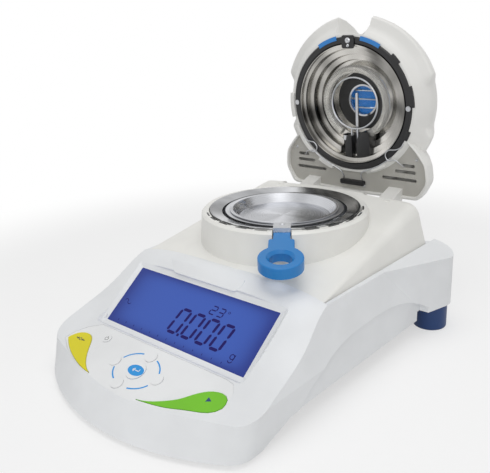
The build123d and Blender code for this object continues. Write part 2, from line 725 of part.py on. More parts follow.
with BuildPart() as lcd_module:
    with BuildSketch(DISPLAY.offset(-DISPLAY_DEPTH)):
        Rectangle(GLASS_WIDTH - 1, GLASS_HEIGHT - 1)
    extrude(amount=DISPLAY_DEPTH - GLASS_THICK - 0.02)
    # stepped edge under the glass
    with BuildSketch(DISPLAY.offset(-DISPLAY_DEPTH)):
        Rectangle(GLASS_WIDTH - 1, GLASS_HEIGHT - 1)
        Rectangle(GLASS_WIDTH - 8, GLASS_HEIGHT - 8, mode=Mode.SUBTRACT)
    extrude(amount=2.5, mode=Mode.SUBTRACT)
lcd_module.part.label = "lcd_module"
export_step(lcd_module.part, "parts/lcd_module.step")

with BuildPart() as display_board:
    with BuildSketch(DISPLAY.offset(-DISPLAY_DEPTH - BOARD)):
        Rectangle(GLASS_WIDTH + 16, GLASS_HEIGHT + 4)
    extrude(amount=BOARD)
    with BuildSketch(DISPLAY.offset(-DISPLAY_DEPTH - BOARD - 3)):
        with GridLocations(38, 22, 3, 2):
            Rectangle(14, 9)
    extrude(amount=3)
display_board.part.label = "display_board"
export_step(display_board.part, "parts/display_board.step")

# Raised tab over the top edge of the display
with BuildPart() as label_tab:
    with BuildSketch(DISPLAY.offset(0.05)):
        with BuildLine():
            Polyline(
                (-41, GLASS_HEIGHT / 2 + 0.3), (-28, GLASS_HEIGHT / 2 - 1.5), (29, GLASS_HEIGHT / 2 - 1.5),
                (36, GLASS_HEIGHT / 2 + 0.5), (32, 38), (-54, 38), close=True,
            )
        make_face()
    extrude(amount=2.9)
    add(base_cover.part, mode=Mode.SUBTRACT)
label_tab.part.label = "label_tab"
export_step(label_tab.part, "parts/label_tab.step")

# Keypad: printed sheet, keys and the board below them
with BuildPart() as keypad_sheet:
    with BuildSketch(KEYPAD.offset(-OVERLAY_THICK)):
        add(closed_profile(*SHEET_OUTLINE))
        for leaf in (YELLOW_LEAF, GREEN_LEAF):
            add(leaf_outline(leaf, KEY_GAP), mode=Mode.SUBTRACT)
        for x, v, radius in ROUND_KEYS:
            with Locations((x, v)):
                Circle(radius + KEY_GAP, mode=Mode.SUBTRACT)
    extrude(amount=OVERLAY_THICK)
keypad_sheet.part.label = "keypad_sheet"
export_step(keypad_sheet.part, "parts/keypad_sheet.step")

with BuildPart() as key_board:
    with BuildSketch(KEYPAD.offset(-KEY_BOARD_DEPTH - BOARD)):
        with Locations((2, -29)):
            RectangleRounded(116, 36, 2)
    extrude(amount=BOARD)
key_board.part.label = "key_board"
export_step(key_board.part, "parts/key_board.step")

for name, leaf in (("tare_key", YELLOW_LEAF), ("start_key", GREEN_LEAF)):
    with BuildPart() as leaf_key:
        with BuildSketch(KEYPAD.offset(-KEY_DEPTH)):
            add(leaf_outline(leaf))
        extrude(amount=KEY_DEPTH + KEY_RISE)
    leaf_key.part.label = name
    export_step(leaf_key.part, f"parts/{name}.step")

key_names = ("enter_key", "print_key", "view_key", "setting_key", "test_key", "power_key")
for name, (x, v, radius) in zip(key_names, ROUND_KEYS):
    with BuildPart() as round_key:
        with BuildSketch(KEYPAD.offset(-KEY_DEPTH)):
            with Locations((x, v)):
                Circle(radius)
        extrude(amount=KEY_DEPTH + KEY_RISE)
        fillet(round_key.faces().sort_by(Axis((0, 0, 0), keypad_normal))[-1].edges(), 0.25)
    round_key.part.label = name
    export_step(round_key.part, f"parts/{name}.step")

# Electronics on the tray
with BuildPart() as main_board:
    with BuildSketch(Plane.XY.offset(MAIN_Z)):
        with Locations((-30, -84)):
            Rectangle(120, 72)
    extrude(amount=BOARD)
    with BuildSketch(Plane.XY.offset(MAIN_Z + BOARD)):
        with Locations((-60, -96), (-22, -70), (8, -98)):
            Rectangle(16, 16)
        with Locations((-76, -62), (14, -62)):
            Rectangle(10, 22)
    extrude(amount=3)
    with BuildSketch(Plane.XY.offset(MAIN_Z + BOARD)):
        with Locations((-40, -104), (-30, -104), (-4, -62)):
            Circle(4)
    extrude(amount=9)
main_board.part.label = "main_board"
export_step(main_board.part, "parts/main_board.step")

with BuildPart() as mains_transformer:
    with BuildSketch(Plane.XY.offset(cell_foot)):
        with Locations((64, -2)):
            RectangleRounded(48, 58, 2)
    extrude(amount=5)
    with BuildSketch(Plane.XY.offset(cell_foot + 5)):
        with Locations((64, -2)):
            Rectangle(44, 30)
    extrude(amount=32)
    with BuildSketch(Plane.XY.offset(cell_foot + 9)):
        with Locations((64, -2)):
            RectangleRounded(34, 50, 5)
    extrude(amount=24)
mains_transformer.part.label = "mains_transformer"
export_step(mains_transformer.part, "parts/mains_transformer.step")

# Sockets in the rear wall
with BuildPart() as power_inlet:
    with BuildSketch(Plane.XZ.offset(-REAR_Y)):
        with Locations((INLET_X, SOCKET_Z)):
            RectangleRounded(34, 27, 2)
    extrude(amount=-1.6)
    with BuildSketch(Plane.XZ.offset(-REAR_Y)):
        with Locations((INLET_X, SOCKET_Z)):
            RectangleRounded(28, 21, 2.5)
    extrude(amount=24)
    with BuildSketch(Plane.XZ.offset(-REAR_Y - 1.6)):
        with Locations((INLET_X, SOCKET_Z)):
            RectangleRounded(24, 16.4, 2)
    extrude(amount=18, mode=Mode.SUBTRACT)
    with BuildSketch(Plane.XZ.offset(-REAR_Y + 17)):
        with Locations((INLET_X - 7, SOCKET_Z - 2), (INLET_X, SOCKET_Z + 2.4), (INLET_X + 7, SOCKET_Z - 2)):
            Rectangle(2, 5)
    extrude(amount=-14)
power_inlet.part.label = "power_inlet"
export_step(power_inlet.part, "parts/power_inlet.step")

with BuildPart() as data_port:
    with BuildSketch(Plane.XZ.offset(-REAR_Y)):
        with Locations((PORT_X, SOCKET_Z)):
            RectangleRounded(36, 15, 2)
    extrude(amount=-1.0)
    with BuildSketch(Plane.XZ.offset(-REAR_Y)):
        with Locations((PORT_X, SOCKET_Z)):
            RectangleRounded(30.4, 12, 1)
    extrude(amount=12)
    with BuildSketch(Plane.XZ.offset(-REAR_Y - 1)):
        with Locations((PORT_X, SOCKET_Z)):
            Trapezoid(18, 8.4, 80, rotation=180)
    extrude(amount=-5)
    with BuildSketch(Plane.XZ.offset(-REAR_Y - 6)):
        with Locations((PORT_X, SOCKET_Z)):
            Trapezoid(16, 6.6, 80, rotation=180)
    extrude(amount=6, mode=Mode.SUBTRACT)
data_port.part.label = "data_port"
export_step(data_port.part, "parts/data_port.step")

# Rubber pads under the chin
with BuildPart() as front_feet:
    with BuildSketch():
        with Locations((60, -192), (-60, -192)):
            Circle(9)
    extrude(amount=CHIN_FLOOR)
    chamfer(front_feet.edges().filter_by(GeomType.CIRCLE).group_by(Axis.Z)[0], 1.2)
front_feet.part.label = "front_feet"
export_step(front_feet.part, "parts/front_feet.step")

# Levelling feet: a moulded foot on a stud that turns in the leg
for name, side in (("right_foot", 1), ("left_foot", -1)):
    with BuildPart() as levelling_foot:
        with BuildSketch():
            with Locations((side * FOOT_X, FOOT_Y)):
                Circle(FOOT_RADIUS)
        extrude(amount=FOOT_HEIGHT)
        rims = levelling_foot.edges().filter_by(GeomType.CIRCLE)
        fillet(rims.group_by(Axis.Z)[0], 2.0)
        fillet(levelling_foot.edges().filter_by(GeomType.CIRCLE).group_by(Axis.Z)[-1], 1.5)
        with BuildSketch(Plane.XY.offset(FOOT_HEIGHT)):
            with Locations((side * FOOT_X, FOOT_Y)):
                Circle(STUD_RADIUS)
        extrude(amount=20)
    levelling_foot.part.label = name
    export_step(levelling_foot.part, f"parts/{name}.step")

# Hinge brackets with a cheek on each side of a knuckle, and their pins
with BuildPart() as hinge_brackets:
    for side in (-1, 1):
        cheek_reach = KNUCKLE_WIDTH / 2 + CHEEK_GAP
        for inner in (side * KNUCKLE_X - cheek_reach - CHEEK_WIDTH, side * KNUCKLE_X + cheek_reach):
            with BuildSketch(Plane.YZ.offset(inner)):
                with Locations((HINGE_Y, HINGE_Z)):
                    Circle(KNUCKLE_RADIUS)
                with Locations((POCKET_Y + 5.8, POCKET_Z + 7)):
                    Rectangle(11, 13.6)
                make_hull()
                with Locations((HINGE_Y, HINGE_Z)):
                    Circle(HINGE_PIN, mode=Mode.SUBTRACT)
            extrude(amount=CHEEK_WIDTH)
        with BuildSketch(Plane.XY.offset(POCKET_Z + 0.05)):
            with Locations((side * KNUCKLE_X, POCKET_Y + 4.3)):
                Rectangle(2 * (cheek_reach + CHEEK_WIDTH), 8)
        extrude(amount=1.6)
hinge_brackets.part.label = "hinge_brackets"
export_step(hinge_brackets.part, "parts/hinge_brackets.step")

with BuildPart() as hinge_pins:
    for side in (-1, 1):
        start = side * KNUCKLE_X - KNUCKLE_WIDTH / 2 - CHEEK_GAP - CHEEK_WIDTH
        with BuildSketch(Plane.YZ.offset(start)):
            with Locations((HINGE_Y, HINGE_Z)):
                Circle(HINGE_PIN)
        extrude(amount=KNUCKLE_WIDTH + 2 * (CHEEK_GAP + CHEEK_WIDTH))
hinge_pins.part.label = "hinge_pins"
export_step(hinge_pins.part, "parts/hinge_pins.step")

# Heating lid: domed shell with two ears, a tail box and the hinge arms
LID_AXIS = Axis(LID.origin, LID.z_dir)
LID_HALF = Plane(origin=LID.origin, x_dir=LID.x_dir, z_dir=-LID.y_dir)
ARM_PLANE = Plane(origin=LID.origin, x_dir=LID.y_dir, z_dir=LID.x_dir)
lip = BEZEL_RADIUS + 0.3
with BuildPart() as bowl_space:
    with BuildSketch(LID_HALF):
        add(
            closed_profile(
                (0, -1), (lip, -1), (lip, 4), (RIM_RADIUS - LID_WALL, 4), (DOME_RADIUS - LID_WALL, 17),
                (72, 30), (63.5, 47), (48, 57.5), (0, LID_DEPTH - LID_WALL),
            )
        )
    revolve(axis=LID_AXIS)
with BuildPart() as tail_space:
    for depth, shrink in ((TAIL_RIM - 1, 0.0), (TAIL_DEPTH - LID_WALL, 0.1)):
        with BuildSketch(LID.offset(depth)):
            add(tail_outline(shrink, LID_WALL))
    loft()
    with BuildSketch(LID):
        Circle(DOME_RADIUS)
    extrude(amount=TAIL_DEPTH, mode=Mode.SUBTRACT)
with BuildPart() as lid_shell:
    with BuildSketch(LID_HALF):
        with BuildLine():
            Polyline((0, LID_DEPTH), (0, 1), (RIM_RADIUS, 1))
            Spline((RIM_RADIUS, 1), (DOME_RADIUS, 17), (74.5, 30), (66, 48), (50, 59), (0, LID_DEPTH))
        make_face()
    revolve(axis=LID_AXIS)
    # ears along both upper sides
    for start in (EAR_FROM, 180 - EAR_TO):
        turn = radians(start)
        reach = LID.x_dir * cos(turn) + LID.y_dir * sin(turn)
        with BuildSketch(Plane(origin=LID.origin, x_dir=reach, z_dir=reach.cross(LID.z_dir))):
            add(
                closed_profile(
                    (70, EAR_PLANE), (EAR_RADIUS, EAR_PLANE), (EAR_RADIUS + 0.5, EAR_PLANE + 3),
                    (76, EAR_PLANE + EAR_HEIGHT), (66, EAR_PLANE + EAR_HEIGHT),
                )
            )
        revolve(axis=LID_AXIS, revolution_arc=EAR_TO - EAR_FROM)
    # tail box towards the hinge
    for depth, shrink in ((TAIL_RIM, 0.0), (TAIL_DEPTH, 0.1)):
        with BuildSketch(LID.offset(depth)):
            add(tail_outline(shrink))
    loft()
    add(bowl_space.part, mode=Mode.SUBTRACT)
    add(tail_space.part, mode=Mode.SUBTRACT)
    # hinge arms with their knuckles
    for side in (-1, 1):
        with BuildSketch(ARM_PLANE.offset(side * KNUCKLE_X - KNUCKLE_WIDTH / 2)):
            add(
                closed_profile(
                    (HINGE_V - 7, HINGE_W), (HINGE_V - 5, -4), (-90, 5.9), (-79.5, 5.9), (-82, 0),
                    (HINGE_V + 7.2, HINGE_W),
                )
            )
            with Locations((HINGE_V, HINGE_W)):
                Circle(KNUCKLE_RADIUS)
        extrude(amount=KNUCKLE_WIDTH)
        with BuildSketch(ARM_PLANE.offset(side * KNUCKLE_X - KNUCKLE_WIDTH)):
            with Locations((HINGE_V, HINGE_W)):
                Circle(HINGE_PIN + HINGE_RUNNING)
        extrude(amount=2 * KNUCKLE_WIDTH, mode=Mode.SUBTRACT)
lid_shell.part.label = "lid_shell"
export_step(lid_shell.part, "parts/lid_shell.step")

with BuildPart() as lid_inner_panel:
    with BuildSketch(LID.offset(TAIL_RIM + 1)):
        add(tail_outline(0.012, LID_WALL + 0.3))
        Circle(DOME_RADIUS + 0.2, mode=Mode.SUBTRACT)
        # air slots low on both sides
        for side in (-1, 1):
            for v, inner, outer in ((-57, 55, 66), (-63, 48, 67), (-71, 34, 67)):
                with Locations((side * (inner + outer) / 2, v)):
                    SlotOverall(outer - inner, 2.6, mode=Mode.SUBTRACT)
    extrude(amount=2)
lid_inner_panel.part.label = "lid_inner_panel"
export_step(lid_inner_panel.part, "parts/lid_inner_panel.step")

with BuildPart() as bezel_ring:
    with BuildSketch(LID_HALF):
        add(
            closed_profile(
                (REFLECTOR_RADIUS + 0.4, 1.2), (REFLECTOR_RADIUS + 1.4, 0), (BEZEL_RADIUS - 0.8, 0),
                (BEZEL_RADIUS, 0.8), (BEZEL_RADIUS, 6), (REFLECTOR_RADIUS + 0.4, 6),
            )
        )
    revolve(axis=LID_AXIS)
bezel_ring.part.label = "bezel_ring"
export_step(bezel_ring.part, "parts/bezel_ring.step")

with BuildPart() as bezel_screws:
    with BuildSketch(LID.offset(-0.9)):
        with Locations((BEZEL_RADIUS - 3.2, 0), (3.2 - BEZEL_RADIUS, 0), (0, BEZEL_RADIUS - 3.2)):
            Circle(2.5)
    extrude(amount=0.9)
bezel_screws.part.label = "bezel_screws"
export_step(bezel_screws.part, "parts/bezel_screws.step")

# Coloured arcs on the lip of the lid
with BuildPart() as lip_arcs:
    with BuildSketch(LID.offset(0.5)):
        for start, span in ((59, 19), (103, 19)):
            with BuildLine(mode=Mode.PRIVATE) as mark:
                CenterArc((0, 0), RIM_RADIUS - 3.4, start, span)
            SlotArc(mark.edge(), 2.2)
    extrude(amount=0.5)
lip_arcs.part.label = "lip_arcs"
export_step(lip_arcs.part, "parts/lip_arcs.step")

# Stepped reflector pressed from sheet, with a window for the lamp holder
inner_rim = []
for i, (radius, depth) in enumerate(REFLECTOR_STEPS):
    inner_rim.append((radius - REFLECTOR_SHEET if i < 2 else radius, depth))
with BuildPart() as reflector:
    with BuildSketch(LID_HALF):
        add(
            closed_profile(
                *inner_rim,
                (29.5, 27.8), (35.9, 26.8), (36.9, 22.3), (42.9, 21.8), (43.9, 16.3), (48.9, 15.8),
                (49.9, 10.3), (54.9, 9.8), (55.9, 4.3), (REFLECTOR_RADIUS, 3.8), (REFLECTOR_RADIUS, 0),
            )
        )
    revolve(axis=LID_AXIS)
    with BuildSketch(LID.offset(2)):
        with Locations((0, -43)):
            Rectangle(34, 18.4)
    extrude(amount=30, mode=Mode.SUBTRACT)
reflector.part.label = "reflector"
export_step(reflector.part, "parts/reflector.step")

# Viewing window in the middle of the reflector
with BuildPart() as window_plate:
    with BuildSketch(LID.offset(27.85)):
        Circle(33.5)
        Circle(WINDOW_RADIUS + 0.5, mode=Mode.SUBTRACT)
    extrude(amount=2)
window_plate.part.label = "window_plate"
export_step(window_plate.part, "parts/window_plate.step")

with BuildPart() as window_ring:
    with BuildSketch(LID_HALF):
        add(
            closed_profile(
                (WINDOW_RADIUS - 1.4, 25.6), (WINDOW_RADIUS + 0.4, 25.6), (WINDOW_RADIUS + 0.4, 29.9),
                (WINDOW_RADIUS + 2.4, 29.9), (WINDOW_RADIUS + 2.4, 31.4), (WINDOW_RADIUS - 1.4, 31.4),
            )
        )
    revolve(axis=LID_AXIS)
window_ring.part.label = "window_ring"
export_step(window_ring.part, "parts/window_ring.step")

with BuildPart() as window_glass:
    with BuildSketch(LID.offset(27.2)):
        Circle(WINDOW_RADIUS - 1.5)
    extrude(amount=1.6)
window_glass.part.label = "window_glass"
export_step(window_glass.part, "parts/window_glass.step")

# Louvred vent behind the window
with BuildPart() as vent_grille:
    with BuildSketch(LID.offset(54)):
        Circle(21)
        Circle(18, mode=Mode.SUBTRACT)
    extrude(amount=LID_DEPTH - LID_WALL - 54 - 1.0)
    with BuildSketch(LID.offset(54.5)):
        Circle(19)
        with GridLocations(0, 5, 1, 8):
            Rectangle(40, 2.2, mode=Mode.SUBTRACT)
    extrude(amount=2)
vent_grille.part.label = "vent_grille"
export_step(vent_grille.part, "parts/vent_grille.step")

# Ring lamp in its ceramic holder, with the guard wire and the sensor rod
with BuildPart() as lamp_holder:
    with BuildSketch(LID.offset(6)):
        with Locations((0, -46.6)):
            RectangleRounded(33, 10.4, 1.5)
    extrude(amount=17)
    for x in (-POST_X, POST_X):
        with BuildSketch(Plane(origin=LID.origin + LID.y_dir * -44, x_dir=LID.x_dir, z_dir=LID.y_dir)):
            with Locations((x, -LAMP_DEPTH)):
                Circle(4.7)
        extrude(amount=16)
lamp_holder.part.label = "lamp_holder"
export_step(lamp_holder.part, "parts/lamp_holder.step")

with BuildPart() as ring_lamp:
    turn = radians(-90 + LAMP_OPEN)
    reach = LID.x_dir * cos(turn) + LID.y_dir * sin(turn)
    with BuildSketch(Plane(origin=LID.origin, x_dir=reach, z_dir=reach.cross(LID.z_dir))):
        with Locations((LAMP_RADIUS, LAMP_DEPTH)):
            Circle(LAMP_TUBE)
    revolve(axis=LID_AXIS, revolution_arc=360 - 2 * LAMP_OPEN)
ring_lamp.part.label = "ring_lamp"
export_step(ring_lamp.part, "parts/ring_lamp.step")

with BuildPart() as guard_wire:
    with BuildSketch(LID_HALF):
        with Locations((GUARD_RADIUS, 9)):
            Circle(WIRE)
    revolve(axis=LID_AXIS)
    with BuildSketch(Plane(origin=LID.origin + LID.y_dir * -25, x_dir=LID.x_dir, z_dir=LID.y_dir)):
        with Locations((-3.5, -9), (3.5, -9)):
            Circle(WIRE)
    extrude(amount=-16.35)
guard_wire.part.label = "guard_wire"
export_step(guard_wire.part, "parts/guard_wire.step")

with BuildPart() as sensor_rod:
    with BuildSketch(Plane(origin=LID.origin + LID.y_dir * 10, x_dir=LID.x_dir, z_dir=LID.y_dir)):
        with Locations((0, -14)):
            Circle(1.7)
    extrude(amount=-51.35)
    fillet(sensor_rod.faces().sort_by(Axis((0, 0, 0), LID.y_dir))[-1].edges(), 1.4)
sensor_rod.part.label = "sensor_rod"
export_step(sensor_rod.part, "parts/sensor_rod.step")

# Spring clips on the lamp posts
with BuildPart() as lamp_clips:
    for x in (-POST_X, POST_X):
        with BuildSketch(Plane(origin=LID.origin + LID.y_dir * -38, x_dir=LID.x_dir, z_dir=LID.y_dir)):
            with Locations((x, -LAMP_DEPTH)):
                Circle(5.6)
                Circle(4.75, mode=Mode.SUBTRACT)
        extrude(amount=5)
lamp_clips.part.label = "lamp_clips"
export_step(lamp_clips.part, "parts/lamp_clips.step")

# Clamp for the lamp leads and the earth strap, low on the tail
with BuildPart() as lead_clamp:
    with BuildSketch(LID.offset(TAIL_RIM - 4)):
        with Locations((0, -81)):
            RectangleRounded(28, 5, 1.5)
    extrude(amount=4.95)
lead_clamp.part.label = "lead_clamp"
export_step(lead_clamp.part, "parts/lead_clamp.step")

with BuildPart() as earth_strap:
    with BuildSketch(LID.offset(TAIL_RIM - 0.3)):
        with Locations((0, -86.4)):
            Rectangle(14, 4.4)
    extrude(amount=1.25)
earth_strap.part.label = "earth_strap"
export_step(earth_strap.part, "parts/earth_strap.step")
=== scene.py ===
# %% [markdown]
# # A bench moisture analyzer
#
# The housing, the chamber and the lid come in as one packed model that never moves here.
# This lesson gives that model its finishes, prints the keypad and lights up the display. It also gives
# the lid its outer form, and adds the small things that a camera sees: screws, louvres and bent wires.
# All lengths are in metres, +X is to the user's right, +Y to the rear and +Z up.

# %% Load the packed model
import json
from math import cos, pi, radians, sin, tan

import bmesh
import bpy
from mathutils import Matrix, Vector
from mathutils.bvhtree import BVHTree


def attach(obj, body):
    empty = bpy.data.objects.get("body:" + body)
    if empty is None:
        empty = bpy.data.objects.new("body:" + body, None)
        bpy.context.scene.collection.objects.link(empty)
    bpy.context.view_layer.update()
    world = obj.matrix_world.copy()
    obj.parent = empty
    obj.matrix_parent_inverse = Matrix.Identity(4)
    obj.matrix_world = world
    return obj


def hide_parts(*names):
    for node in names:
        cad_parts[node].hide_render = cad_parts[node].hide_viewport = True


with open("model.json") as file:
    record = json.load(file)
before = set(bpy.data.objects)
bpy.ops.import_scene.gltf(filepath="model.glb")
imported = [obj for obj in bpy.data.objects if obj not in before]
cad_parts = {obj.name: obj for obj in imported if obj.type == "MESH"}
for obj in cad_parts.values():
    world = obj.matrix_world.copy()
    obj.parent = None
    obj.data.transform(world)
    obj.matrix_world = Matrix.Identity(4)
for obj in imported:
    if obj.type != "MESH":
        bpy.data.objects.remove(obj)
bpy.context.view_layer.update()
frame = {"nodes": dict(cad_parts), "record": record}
nodes = frame["nodes"]
scene = bpy.context.scene
print("nodes loaded:", len(nodes))

# %% [markdown]
# ## Writing shader maths as ordinary arithmetic
#
# A moulded wall or a turned ring is drawn by sums on coordinates. Wiring Math nodes by hand
# hides those sums, so a small class wraps one socket and turns + - * / into nodes.
# Its reflected forms let a plain number stand on the left, as in 1 - mask.

# %% A wire that knows arithmetic
class Wire:
    """One output of a shader node, with ordinary arithmetic on it."""

    def __init__(self, finish, socket):
        self.finish = finish
        self.socket = socket

    def _sum(self, operation, *others):
        return self.finish.node("ShaderNodeMath", {"operation": operation}, [self, *others])

    def __add__(self, other):
        return self._sum("ADD", other)

    __radd__ = __add__

    def __mul__(self, other):
        return self._sum("MULTIPLY", other)

    __rmul__ = __mul__

    def __sub__(self, other):
        return self._sum("SUBTRACT", other)

    def __rsub__(self, other):
        return self.finish.node("ShaderNodeMath", {"operation": "SUBTRACT"}, [other, self])

    def __truediv__(self, other):
        return self._sum("DIVIDE", other)

    def __rtruediv__(self, other):
        return self.finish.node("ShaderNodeMath", {"operation": "DIVIDE"}, [other, self])

    def __neg__(self):
        return self * -1

    def __abs__(self):
        return self._sum("ABSOLUTE")

    def power(self, other):
        return self._sum("POWER", other)

    def root(self):
        return self._sum("SQRT")

    def sine(self):
        return self._sum("SINE")

    def least(self, other):
        return self._sum("MINIMUM", other)

    def most(self, other):
        return self._sum("MAXIMUM", other)

    def ramp(self, low, high):
        """0 below low, 1 above high, and smooth between them."""
        settings = {"interpolation_type": "SMOOTHSTEP"}
        inputs = {"Value": self, "From Min": low, "From Max": high}
        return self.finish.node("ShaderNodeMapRange", settings, inputs)


print("arithmetic ready:", [name for name in vars(Wire) if name.startswith("__r")])

# %% A finish under construction
class Finish:
    """A material whose nodes are made by one method, around a single surface shader."""

    def __init__(self, name, **constants):
        self.material = bpy.data.materials.new(name)
        self.material.use_nodes = True
        self.tree = self.material.node_tree
        self.surface = self.tree.nodes["Principled BSDF"]
        for socket, value in constants.items():
            self.set(socket.replace("_", " "), value)

    def set(self, socket, value):
        """Gives one socket of the surface a constant or a wire."""
        target = self.surface.inputs[socket]
        if isinstance(value, Wire):
            self.tree.links.new(value.socket, target)
        else:
            target.default_value = value

    def node(self, kind, settings=None, inputs=(), output=0):
        """Adds any node: settings first, then the values or wires of its sockets."""
        node = self.tree.nodes.new(kind)
        for key, value in (settings or {}).items():
            setattr(node, key, value)
        pairs = inputs.items() if isinstance(inputs, dict) else enumerate(inputs)
        for key, value in pairs:
            socket = node.inputs[key]
            if isinstance(value, Wire):
                self.tree.links.new(value.socket, socket)
            else:
                socket.default_value = value
        return Wire(self, node.outputs[output])

    def place(self, centre=(0, 0, 0), turn=(0, 0, 0)):
        """Object coordinates in metres, from a centre and turned, as three wires and the vector."""
        node = self.tree.nodes.new("ShaderNodeTexCoord")
        point = Wire(self, node.outputs["Object"])
        moved = self.node("ShaderNodeVectorMath", {"operation": "SUBTRACT"}, [point, centre])
        if any(turn):
            inputs = {"Vector": moved, "Rotation": turn}
            moved = self.node("ShaderNodeMapping", {"vector_type": "POINT"}, inputs)
        split = self.tree.nodes.new("ShaderNodeSeparateXYZ")
        self.tree.links.new(moved.socket, split.inputs[0])
        return [Wire(self, output) for output in split.outputs] + [moved]

    def noise(self, vector, size, detail=2.0, rough=0.5):
        """Noise whose grains are about one size across, in metres, from 0 to 1."""
        inputs = {"Vector": vector, "Scale": 1 / size, "Detail": detail, "Roughness": rough}
        return self.node("ShaderNodeTexNoise", {}, inputs)

    def blend(self, mask, first, second):
        """A colour that goes from the first to the second as the mask rises."""
        first = first if isinstance(first, Wire) else (*first, 1)
        second = second if isinstance(second, Wire) else (*second, 1)
        return self.node("ShaderNodeMix", {"data_type": "RGBA"}, {0: mask, 6: first, 7: second}, output=2)

    def bump(self, height, depth):
        """Turns a height wire into a bump on the surface's normal; depth is in metres."""
        inputs = {"Height": height, "Distance": depth}
        self.set("Normal", self.node("ShaderNodeBump", {}, inputs))


def tint(colour, share):
    """A colour made lighter, or darker with a negative share."""
    return tuple(min(1.0, max(0.0, c * (1 + share))) for c in colour)


print("a finish can:", [name for name in vars(Finish) if not name.startswith("_")])

# %% [markdown]
# ## Moulded plastic
#
# Every pale wall of the instrument is moulded with a fine spark-eroded grain. On the real one the grain
# is under half a millimetre, so it shows as a soft sheen and not as dots. A flat colour would look like
# paper. Here two noises work together: a fine one raises the grain, a broad one shifts colour and gloss
# by a few percent, as flow and handling do.

# %% A maker for moulded plastics
def moulded(name, colour, rough=0.45, grain=0.00035, relief=0.00003, patch=0.05, coat=0.0):
    finish = Finish(name, Roughness=rough, Coat_Weight=coat, Coat_Roughness=0.12)
    *_, point = finish.place()
    broad = finish.noise(point, patch, 3)
    fine = finish.noise(point, grain, 2)
    finish.set("Base Color", finish.blend(broad.ramp(0.35, 0.65), tint(colour, -0.035), tint(colour, 0.02)))
    finish.set("Roughness", rough + (broad - 0.5) * 0.12 + (fine - 0.5) * 0.08)
    finish.bump(fine, relief)
    return finish


# The keypad is a printed film, with a finer and flatter grain than the moulded walls
FILM = {"grain": 0.0002, "relief": 0.00001}

plastics = {
    "housing": moulded("housing", (0.80, 0.815, 0.83), 0.42),
    "hood": moulded("hood", (0.83, 0.825, 0.79), 0.40),
    "lid_white": moulded("lid_white", (0.78, 0.775, 0.75), 0.42),
    "lid_grey": moulded("lid_grey", (0.46, 0.45, 0.415), 0.55),
    "tray_grey": moulded("tray_grey", (0.36, 0.37, 0.38), 0.6),
    "grip_blue": moulded("grip_blue", (0.006, 0.19, 0.52), 0.36, relief=0.00001),
    "foot_blue": moulded("foot_blue", (0.004, 0.036, 0.145), 0.45),
    "vent_blue": moulded("vent_blue", (0.02, 0.22, 0.62), 0.35, coat=0.2),
    "black": moulded("black", (0.012, 0.012, 0.013), 0.38),
    "module_grey": moulded("module_grey", (0.05, 0.052, 0.055), 0.5),
    "sheet_white": moulded("sheet_white", (0.83, 0.84, 0.845), 0.3, **FILM, coat=0.15),
    "key_white": moulded("key_white", (0.80, 0.81, 0.82), 0.3, **FILM, coat=0.15),
    "key_yellow": moulded("key_yellow", (0.74, 0.66, 0.0), 0.4, **FILM),
    "key_green": moulded("key_green", (0.165, 0.53, 0.008), 0.4, **FILM),
    "key_blue": moulded("key_blue", (0.012, 0.29, 0.72), 0.4, **FILM),
    "rubber": moulded("rubber", (0.02, 0.02, 0.021), 0.75),
    "ceramic": moulded("ceramic", (0.74, 0.70, 0.63), 0.6, grain=0.0008, relief=0.00005),
    "insulation": moulded("insulation", (0.60, 0.57, 0.50), 0.9, grain=0.0015, relief=0.0002),
    "transformer_iron": moulded("transformer_iron", (0.05, 0.055, 0.06), 0.45, grain=0.0006),
}
print("plastics:", ", ".join(plastics))

# %% [markdown]
# ## Turned and brushed metal
#
# The flange ring, the pan and the well are spun on a lathe, so their marks are circles round one axis.
# A flat metal would mirror like chrome everywhere. The distance from the axis drives a noise that
# changes quickly across the circles and not at all along them.

# %% Metals with marks round an axis
MARK_WIDTH = 0.0005


def turned(name, colour, rough, centre=(0, 0, 0), turn=(0, 0, 0), relief=0.000004, spread=0.16, reflection_bands=()):
    """Metal with circular marks; the bands are painted reflections, given as (times round, phase, share) of
    darkening round the axis.
    """
    finish = Finish(name, Metallic=1.0, Roughness=rough)
    x, y, z, point = finish.place(centre, turn)
    radius = (x * x + y * y).root()
    inputs = {"W": radius, "Scale": 1 / MARK_WIDTH, "Detail": 3.0}
    marks = finish.node("ShaderNodeTexNoise", {"noise_dimensions": "1D"}, inputs)
    broad = finish.noise(point, 0.02, 2)
    angle = finish.node("ShaderNodeMath", {"operation": "ARCTAN2"}, [y, x])
    shade = (broad - 0.5) * 0.3
    # Painted reflection: sectors round the axis are darkened the way a polished ring looks when it mirrors
    # dark surroundings.
    for times, phase, share in reflection_bands:
        shade = shade + (0.5 + 0.5 * (angle * times + phase + (broad - 0.5) * 1.2).sine()) * share
    shade = shade.least(0.94).most(0.0)
    light = finish.blend(broad, tint(colour, -0.06), tint(colour, 0.03))
    finish.set("Base Color", finish.blend(shade, light, tint(colour, -0.92)))
    finish.set("Roughness", rough + (marks - 0.5) * spread + (broad - 0.5) * 0.06)
    finish.bump(marks, relief)
    return finish


